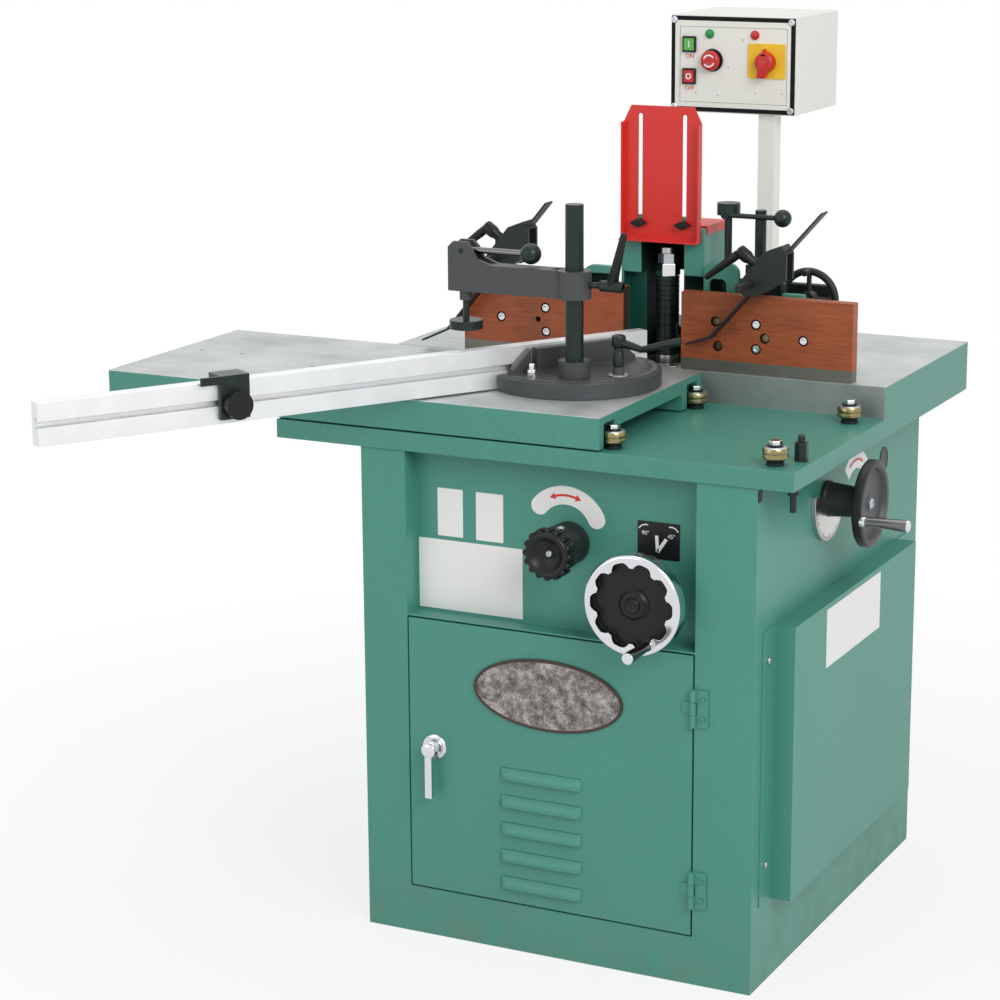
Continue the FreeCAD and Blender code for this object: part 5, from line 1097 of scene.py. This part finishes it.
# %% Stop button and main switch
STOP_X, STOP_Z = -0.078, 1.314
turned("stop_mushroom", [(0, 1), (6, 0.4), (12, 0), (14.8, 1.2), (16.6, 3.6), (17, 6.5), (16.4, 8.6),
                         (11.5, 9.6), (9.2, 10.2), (9.2, 15.8), (0, 15.8)], (STOP_X, 0.41, STOP_Z), "y", 64,
       red_plastic, "stop_button", "red_plastic", ["stop_button"])
for number, begin in enumerate((20, 200), 1):
    curved_plate(f"stop_mark_{number}", 8.2, 10.8, (STOP_X, 0.4101, STOP_Z), "y", begin, 125, 0.9, plate_film,
                 "stop_button", "white_paint")
turned("stop_ring", [(10.2, 0), (19, 0), (19.5, -0.6), (19, -1.6), (15, -2.2), (10.2, -2.2), (10.2, 0)],
       (STOP_X, LID + 0.0002, STOP_Z), "y", 64, *PLASTIC_FRAME)
for sheet in (lid, outline, seal):
    crisp(cut(sheet, drum("stop_way", 0.01, (STOP_X, 0.415, STOP_Z), 0.025, "y", 48)))
film("switch_plate", (-0.0125, LID - 0.0026, 1.2865), (0.0545, LID + 0.0003, 1.3445), yellow_plastic, "frame",
     "green_plastic", corner=0.002)
SWITCH_RED = (red_plastic, "main_switch", "red_plastic")
turned("switch_body", [(0, 0), (14, 0), (15.8, 1.4), (16.8, 5), (17.2, 16.5), (0, 16.5)],
       (0.021, 0.4072, STOP_Z), "y", 48, *SWITCH_RED, ["main_switch"])
grip = block("switch_grip", (0.012, 0.4042, 1.288), (0.03, 0.42, 1.319))
sawn(grip, "z", 1.306)
pick(grip, lambda at, normal: at.z < 1.289, "corners")
swell((0.82, 0.85, 1), (0.018, 0.414, 1.288))
bpy.ops.transform.translate(value=(-0.0035, 0, 0))
done()
finished(grip, 0.0022, 3, *SWITCH_RED)
nose = block("switch_nose", (0.015, 0.4072, 1.325), (0.027, 0.42, 1.337))
pick(nose, lambda at, normal: at.z > 1.336, "corners")
swell((0.12, 1, 1), (0.021, 0.414, 1.337))
done()
finished(nose, 0.0008, 2, *SWITCH_RED)
print("stop button and main switch")

# %% [markdown]
# Beside the hood stand two open cast ears, and a red plate lies on its roof. An ear is a plate with rounded
# corners whose window is cut by a smaller rounded plate. The right ear belongs to the wing that slides, so it
# rides on that body.


# %% Ears and roof plate of the hood
def cast_ear(name, plate, window, body):
    ear = cut(rounded_plate(name, *plate, 6), rounded_plate("ear_window", *window, 6))
    return finished(ear, 0.0014, 2, green_paint, body, "green_paint")


cast_ear("right_ear", ((0.064, 0.056, 0.957), (0.124, 0.0645, 1.032), 0.016),
         ((0.073, 0.04, 0.976), (0.103, 0.07, 1.006), 0.009), "right_wing")
cast_ear("left_ear", ((-0.142, 0.0485, 0.956), (-0.084, 0.0603, 1.016), 0.016),
         ((-0.133, 0.04, 0.966), (-0.078, 0.07, 1.003), 0.008), "frame")
# A plate behind the left ear's window wears the near-black painted shade, standing for the shadowed hood behind
# it.
slab("left_ear_painted_shade_plate", (-0.1385, 0.057, 0.96), (-0.084, 0.06, 1.008), 0.0006, 2, inner_hood_painted_shade, "frame",
     "green_paint")
ROOF_LIP = 0.061
roof_plate = block("roof_plate", (-0.08, 0.0745, 1.0832), (0.063, 0.156, 1.0866))
sawn(roof_plate, "x", ROOF_LIP)
pushed(roof_plate, lambda at, normal: normal.z < -FACING and at.x > ROOF_LIP, z=-0.011)
finished(roof_plate, 0.0006, 2, *RED_FRAME)
print("ears and roof plate added")

# %% [markdown]
# The spindle carries black spacing rings, one above the other, closed by a large and a small nut. The rings are
# one lathe outline with a groove at each joint. A nut is a six-sided drum; the chamfer comes from insetting its
# ends a little.


# %% Spindle rings, nuts and hexagon heads
def hexagon(name, radius, foot, height, *dress):
    nut = drum(name, radius, foot, height, "z", 6)
    rimmed(nut, lambda at, normal: abs(normal.z) > FACING, radius * 0.12)
    for way in (-1, 1):
        pick(nut, lambda at, normal: normal.z * way > FACING
             and math.hypot(at.x - foot[0], at.y - foot[1]) < radius * 0.1)
        bpy.ops.transform.translate(value=(0, 0, way * radius * 0.05))
        done()
    return finished(nut, radius * 0.04, 2, *dress, angle=15)


rings = [(12.9, 0), (18.6, 0), (19, 0.6)]
for groove in (30, 50, 66, 78, 90, 98, 106, 114, 121):
    rings += [(19, groove - 0.9), (18, groove - 0.4), (18, groove + 0.4), (19, groove + 0.9)]
rings += [(19, 127.4), (18.6, 128), (12.9, 128), (12.9, 0)]
stack = turned("spindle_rings", rings, (*SPINDLE, 0.872), "z", 64, black_steel, "spindle", "black_steel",
               ["spindle_collars"])
hexagon("spindle_nut_large", 0.0205, (*SPINDLE, 1.0006), 0.02, chrome, "spindle", "bright_steel")
hexagon("spindle_nut_small", 0.0165, (*SPINDLE, 1.0212), 0.015, zinc, "spindle", "bright_steel")
print("spindle:", len(stack.data.polygons), "faces on the rings")

# %% [markdown]
# The wooden boards are held by flat-headed bolts in counterbores, and some counterbores are empty. Each hole is
# cut by a drum. The bolt heads ride on the boards, so they move with them.


# %% Bolts of the fence boards
def bored(board, holes, radius, depth):
    for x, z in holes:
        cut(board, drum("bore", radius, (x, 0.025, z), depth + 0.001, "y", 32))


OPEN_HOLES = ((0.098, 0.944), (0.102, 0.905), (0.181, 0.923))
BOLTS = {"right": ((0.166, 0.944), (0.1665, 0.905), (0.245, 0.924)),
         "left": ((-0.28, 0.924), (-0.2, 0.944), (-0.199, 0.905))}
boards = {side: bpy.data.objects[f"{side}_fence_board_eased"] for side in BOLTS}
bored(boards["right"], BOLTS["right"] + OPEN_HOLES, 0.0084, 0.007)
bored(boards["left"], BOLTS["left"], 0.0084, 0.007)
bored(boards["left"], ((-0.213, 0.9245),), 0.0045, 0.015)
for side, bolts in BOLTS.items():
    for number, (x, z) in enumerate(bolts, 1):
        turned(f"{side}_board_bolt_{number}", screw_outline(7.4, -5.2), (x, 0.032, z), "y", 32, chrome,
               f"{side}_board", "bright_steel")
insert_places = [(x, 0.0318, z) for x, z in OPEN_HOLES]
row_of("bore_insert", [(0, 0.4), (2.6, 0.4), (3.2, -1), (5.2, -1), (5.6, 0.4), (5.6, 3), (0, 3)],
       insert_places, "y", 24, bronze, "right_board", "bright_steel")
shaded_wood = dark_skin("shaded_wood", (0.045, 0.016, 0.007), 0.6, 300.0, 0.0003, (0.09, 0.03, 0.01))
for board in boards.values():
    second_finish(board, shaded_wood, lambda at, normal: 0.0262 < at.y < 0.0415 and 0.893 < at.z < 0.955
                  and -0.3 < at.x < 0.262)
    crisp(board)
print("six bolts in the boards")

# %% [markdown]
# The sliding table runs on bronze rollers with a flange at each end. One lathe outline makes a roller, and each
# gets its own stud with a washer and a hexagon head. The end stop is a hexagon bar with a slim rounded tip. The
# sliding table is hollow between its two rows of rollers, so a block cuts its underside.

# %% Track rollers and end stop
ROLLERS = [(x, y) for y in (-0.332, -0.02) for x in (-0.425, 0.085, 0.34)]
TREAD = [(7.2, 3), (15, 3), (17.8, 4.4), (19, 6), (19, 9.6), (18, 10.8), (18, 12.8), (19, 14), (19, 18.6),
         (17.8, 20.8), (15, 22), (12, 22.4), (7.2, 22.4), (7.2, 3)]
STUD = [(0, 0), (13, 0), (13, 4.8), (11, 5.6), (11, 8), (6.8, 8.2), (6.8, 28.2), (11.2, 28.4), (11.8, 29),
        (11.8, 30.2), (11.2, 30.8), (0, 30.8)]
tread = turned("roller_tread_1", TREAD, (*ROLLERS[0], 0.818), "z", 48, bronze, "roller_1", "bright_steel",
               ["track_roller_1"])
second_finish(tread, zinc, lambda at, normal: at.z > 0.8386)
second_finish(tread, black_steel, lambda at, normal: at.z < 0.8232)
stud = turned("roller_stud_1", STUD, (*ROLLERS[0], SHELF), "z", 40, black_steel, "frame", "bright_steel",
              ["roller_studs"])
head = hexagon("roller_head_1", 0.01, (*ROLLERS[0], 0.8432), 0.0056, chrome, "frame", "bright_steel")
for number, (x, y) in enumerate(ROLLERS[1:], 2):
    step = (x - ROLLERS[0][0], y - ROLLERS[0][1], 0)
    twin = another(tread, f"roller_tread_{number}", step, f"roller_{number}")
    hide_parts(f"track_roller_{number}")
    another(stud, f"roller_stud_{number}", step, "frame")
    another(head, f"roller_head_{number}", step, "frame")
STOP_POST = (0.365, -0.292)
hexagon("stop_post", 0.0104, (*STOP_POST, SHELF), 0.027, black_steel, "frame", "black_steel")
turned("stop_tip", [(9, 0), (9, 1.4), (5.6, 2.4), (5.6, 9), (4.8, 11.2), (2.8, 12.4), (0, 12.8)],
       (*STOP_POST, 0.8394), "z", 32, black_steel, "frame", "black_steel", ["table_stop"])
print(len(ROLLERS), "rollers with studs")
slider_top = bpy.data.objects["sliding_table_eased"]
crisp(cut(slider_top, block("slider_hollow", (-0.76, -0.31, 0.805), (0.09, -0.062, 0.841))))
print("sliding table hollowed below:", len(slider_top.data.polygons), "faces")

# %% [markdown]
# The levers of the mitre gauge and of the clamp are forged: slim, round and tapered. Each straight length is
# turned along the vertical axis first and then laid from its start to its end; the bent lever is two lengths
# that meet in an elbow.


# %% Levers of the mitre gauge and the clamp
def laid(name, outline, start, end, *dress):
    piece = turned(name, outline, (0, 0, 0), "z", 32)
    way = Vector(end) - Vector(start)
    lay(piece, Matrix.Translation(start) @ way.to_track_quat("Z", "X").to_matrix().to_4x4())
    return wear(piece, *dress)


def tapered(length, foot_radius, tip_radius):
    """Half outline of a tapered rod with two rounded ends."""
    return [(0, -foot_radius), (foot_radius * 0.7, -foot_radius * 0.7), (foot_radius, 0), (tip_radius, length),
            (tip_radius * 0.92, length + tip_radius * 0.35), (tip_radius * 0.6, length + tip_radius * 0.6),
            (0, length + tip_radius * 0.65)]


LEVER_X, LEVER_Y, CLAMP_Y = 0.02578, -0.184006, -0.219023
MITRE_STEEL = (black_steel, "mitre_lever", "black_steel")
turned("mitre_lever_post", [(0, 0), (7.8, 0), (8.4, 0.8), (8.4, 20), (7.2, 22), (7.2, 29), (10.5, 32),
                            (11.2, 35), (11.2, 44), (10, 47.5), (6, 49), (0, 49.2)],
       (LEVER_X, LEVER_Y, 0.9042), "z", 40, *MITRE_STEEL, ["mitre_lever"])
near, elbow, end = (Vector((x, LEVER_Y, z))
                    for x, z in ((LEVER_X + 0.006, 0.9405), (0.064, 0.933), (0.125, 0.95)))
for name, start, stop, thick, thin in (("mitre_lever_root", near, elbow, 6.8, 5),
                                       ("mitre_lever_grip", elbow, end, 4.8, 6.2)):
    laid(name, tapered((stop - start).length / MM, thick, thin), start, stop, *MITRE_STEEL)
turned("mitre_washer", [(8.8, 0), (15, 0), (15.6, 0.6), (15.6, 2.2), (14.8, 3), (8.8, 3), (8.8, 0)],
       (LEVER_X, LEVER_Y, 0.8892), "z", 40, zinc, "mitre", "bright_steel")
turned("clamp_lock_hub", [(0, 0), (4.6, 0), (4.6, 15), (7.4, 16), (8.6, 17.6), (8.6, 52), (7.6, 53.6),
                          (5.2, 53.6), (5, 47), (0, 47)], (-0.005, CLAMP_Y, 1.0323), "x", 40, black_steel,
       "clamp_lock", "black_steel", ["clamp_lock_lever"])
laid("clamp_lock_grip", tapered(80, 8.4, 5.2), (0.03, CLAMP_Y, 1.034), (0.049, CLAMP_Y, 1.109), black_plastic,
     "clamp_lock", "black_plastic")
HUB = [(0, 30.4), (4.3, 30.4), (4.3, 0), (7.6, 0), (8, 1), (8, 11), (9.8, 15), (10.4, 18), (10.4, 31.5),
       (9.6, 34.5), (6, 36.2), (0, 36.4)]
HANDLE = [(0, 0), (7, 0), (7.2, 10), (4.8, 64), (4.4, 66.4), (2.8, 68), (0, 68.4)]
SCREW_WAY, HANDLE_WAY = Vector((-0.8192, 0, 0.5736)), Vector((-0.7986, 0, -0.6018))
for side, x, z in (("right", 0.18, 1.037), ("left", -0.261, 1.049)):
    seat = Vector((x, 0.008, z))
    knee = seat + SCREW_WAY * 0.0405
    skin = (black_plastic, f"{side}_lever", "black_plastic")
    laid(f"{side}_holddown_hub", HUB, seat + SCREW_WAY * 0.0105, seat + SCREW_WAY * 0.0469, *skin,
         [f"{side}_holddown_lever"])
    laid(f"{side}_holddown_handle", HANDLE, knee + HANDLE_WAY * 0.0065, knee + HANDLE_WAY * 0.075, *skin)
cam_lever = bpy.data.objects["clamp_cam_lever_eased"]
second_finish(cam_lever, dark_chrome, lambda at, normal: -0.2 < at.x < -0.12 and 1.066 < at.z < 1.081)
print("levers of the gauge and the clamp")

# %% [markdown]
# On its half-round base the gauge has a raised band with divisions, so that the angle can be read, and a bright
# index bolt in front. The band is part of a turn about the pivot, and each division is a copy turned on by five
# degrees.

# %% Divided band and index bolt of the mitre gauge
PIVOT = Vector((-0.062, -0.15, 0.8893))
DIVISIONS, FIRST_DIVISION, DIVISION_STEP = 32, -112, 5
band = curved_plate("mitre_band", 101, 127, PIVOT, "z", 242, 168, 2)
finished(band, 0.0004, 2, arm_casting, "mitre", "black_casting", angle=50)
division = slab("mitre_division_1", (PIVOT.x + 0.118, PIVOT.y - 0.0003, 0.8902),
                (PIVOT.x + 0.1262, PIVOT.y + 0.0003, 0.8905), 0.0001, 1, zinc, "mitre", "bright_steel")
for number in range(1, DIVISIONS):
    place = turned_about(PIVOT, "Z", FIRST_DIVISION + DIVISION_STEP * number)
    another(division, f"mitre_division_{number + 1}", place, "mitre")
lay(division, turned_about(PIVOT, "Z", FIRST_DIVISION))
turned("index_bolt", [(0, 19), (3, 18.8), (5, 17.2), (5.6, 15), (5.6, 9.8), (8.2, 9), (8.6, 8), (8.6, 3.4),
                      (8, 2.6), (10.2, 2), (10.4, 0), (0, 0)], (-0.0968, -0.233, 0.889), "z", 32, chrome,
       "mitre", "bright_steel")
print("band with", DIVISIONS, "divisions")
gauge = bpy.data.objects["mitre_base_eased"]
notch = block("gauge_notch", (-0.079, -0.01, 0.894), (-0.069, 0.03, 0.93))
lay(notch, Matrix.Translation((PIVOT.x, PIVOT.y, 0)) @ Matrix.Rotation(-MITRE_TURN, 4, "Z"))
crisp(cut(gauge, notch))
second_finish(bpy.data.objects["clamp_post_eased"], arm_casting, lambda at, normal: at.z < 0.915
              and math.hypot(at.x + 0.03196, at.y + 0.21902) > 0.019)
print("notch and collar of the gauge")

# %% [markdown]
# A studio catalogue picture has soft light from above and the right, a weaker fill from the left, and white all
# round. The world lights the shadows a little, and is pure white where the camera or a mirror looks at it. The
# floor is nearly white and keeps a faint shadow, so the machine stands on something.


# %% Light and floor
def lamp(name, place, target, size, power):
    clear_selection()
    bpy.ops.object.light_add(type="AREA", location=place)
    made = bpy.context.object
    made.name, made.data.size, made.data.energy = name, size, power
    made.rotation_euler = (Vector(target) - Vector(place)).to_track_quat("-Z", "Y").to_euler()
    return made


lamp("soft_key", (3.2, -2.6, 3.4), (0.0, 0.0, 0.7), 2.6, 118)
lamp("front_fill", (-2.4, -4.0, 2.2), (0.0, 0.0, 0.7), 2.6, 26)
lamp("top_wash", (-0.4, 0.6, 4.2), (0.0, 0.0, 0.8), 3.0, 30)

surround = bpy.data.worlds.new("white_surround")
bpy.context.scene.world = surround
surround.use_nodes = True
surround.node_tree.nodes.clear()
sky = Wire(surround.node_tree)


def seen_directly(tree):
    rays = [tree.node("ShaderNodeLightPath", out=name)
            for name in ("Is Camera Ray", "Is Glossy Ray", "Is Transmission Ray")]
    return tree.maths("MAXIMUM", tree.maths("MAXIMUM", rays[0], rays[1]), rays[2])


ambient = sky.node("ShaderNodeBackground", None, {"Color": (1, 1, 1, 1), "Strength": 0.44})
white = sky.node("ShaderNodeBackground", None, {"Color": (1, 1, 1, 1), "Strength": 1.0})
sky.node("ShaderNodeOutputWorld", None,
         {"Surface": sky.node("ShaderNodeMixShader", None, {0: seen_directly(sky), 1: ambient, 2: white})})

clear_selection()
bpy.ops.mesh.primitive_plane_add(size=30, location=(0, 0, -0.0004))
floor = bpy.context.object
floor.name = "studio_floor"
settle()
pale, ground, spot = begin_finish("pale_floor")
matt = ground.node("ShaderNodeBsdfDiffuse", None, {"Color": (0.86, 0.86, 0.86, 1)})
glow = ground.node("ShaderNodeEmission", None, {"Color": (1, 1, 1, 1), "Strength": 1.0})
away = ground.node("ShaderNodeVectorMath", {"operation": "LENGTH"}, {0: spot}, out="Value")
whiter = 0.8 + 0.2 * masked(ground, away, 0.7, 1.9)
ground.node("ShaderNodeOutputMaterial", None,
            {"Surface": ground.node("ShaderNodeMixShader", None,
                                    {0: seen_directly(ground) * whiter, 1: matt, 2: glow})})
floor.data.materials.append(pale)
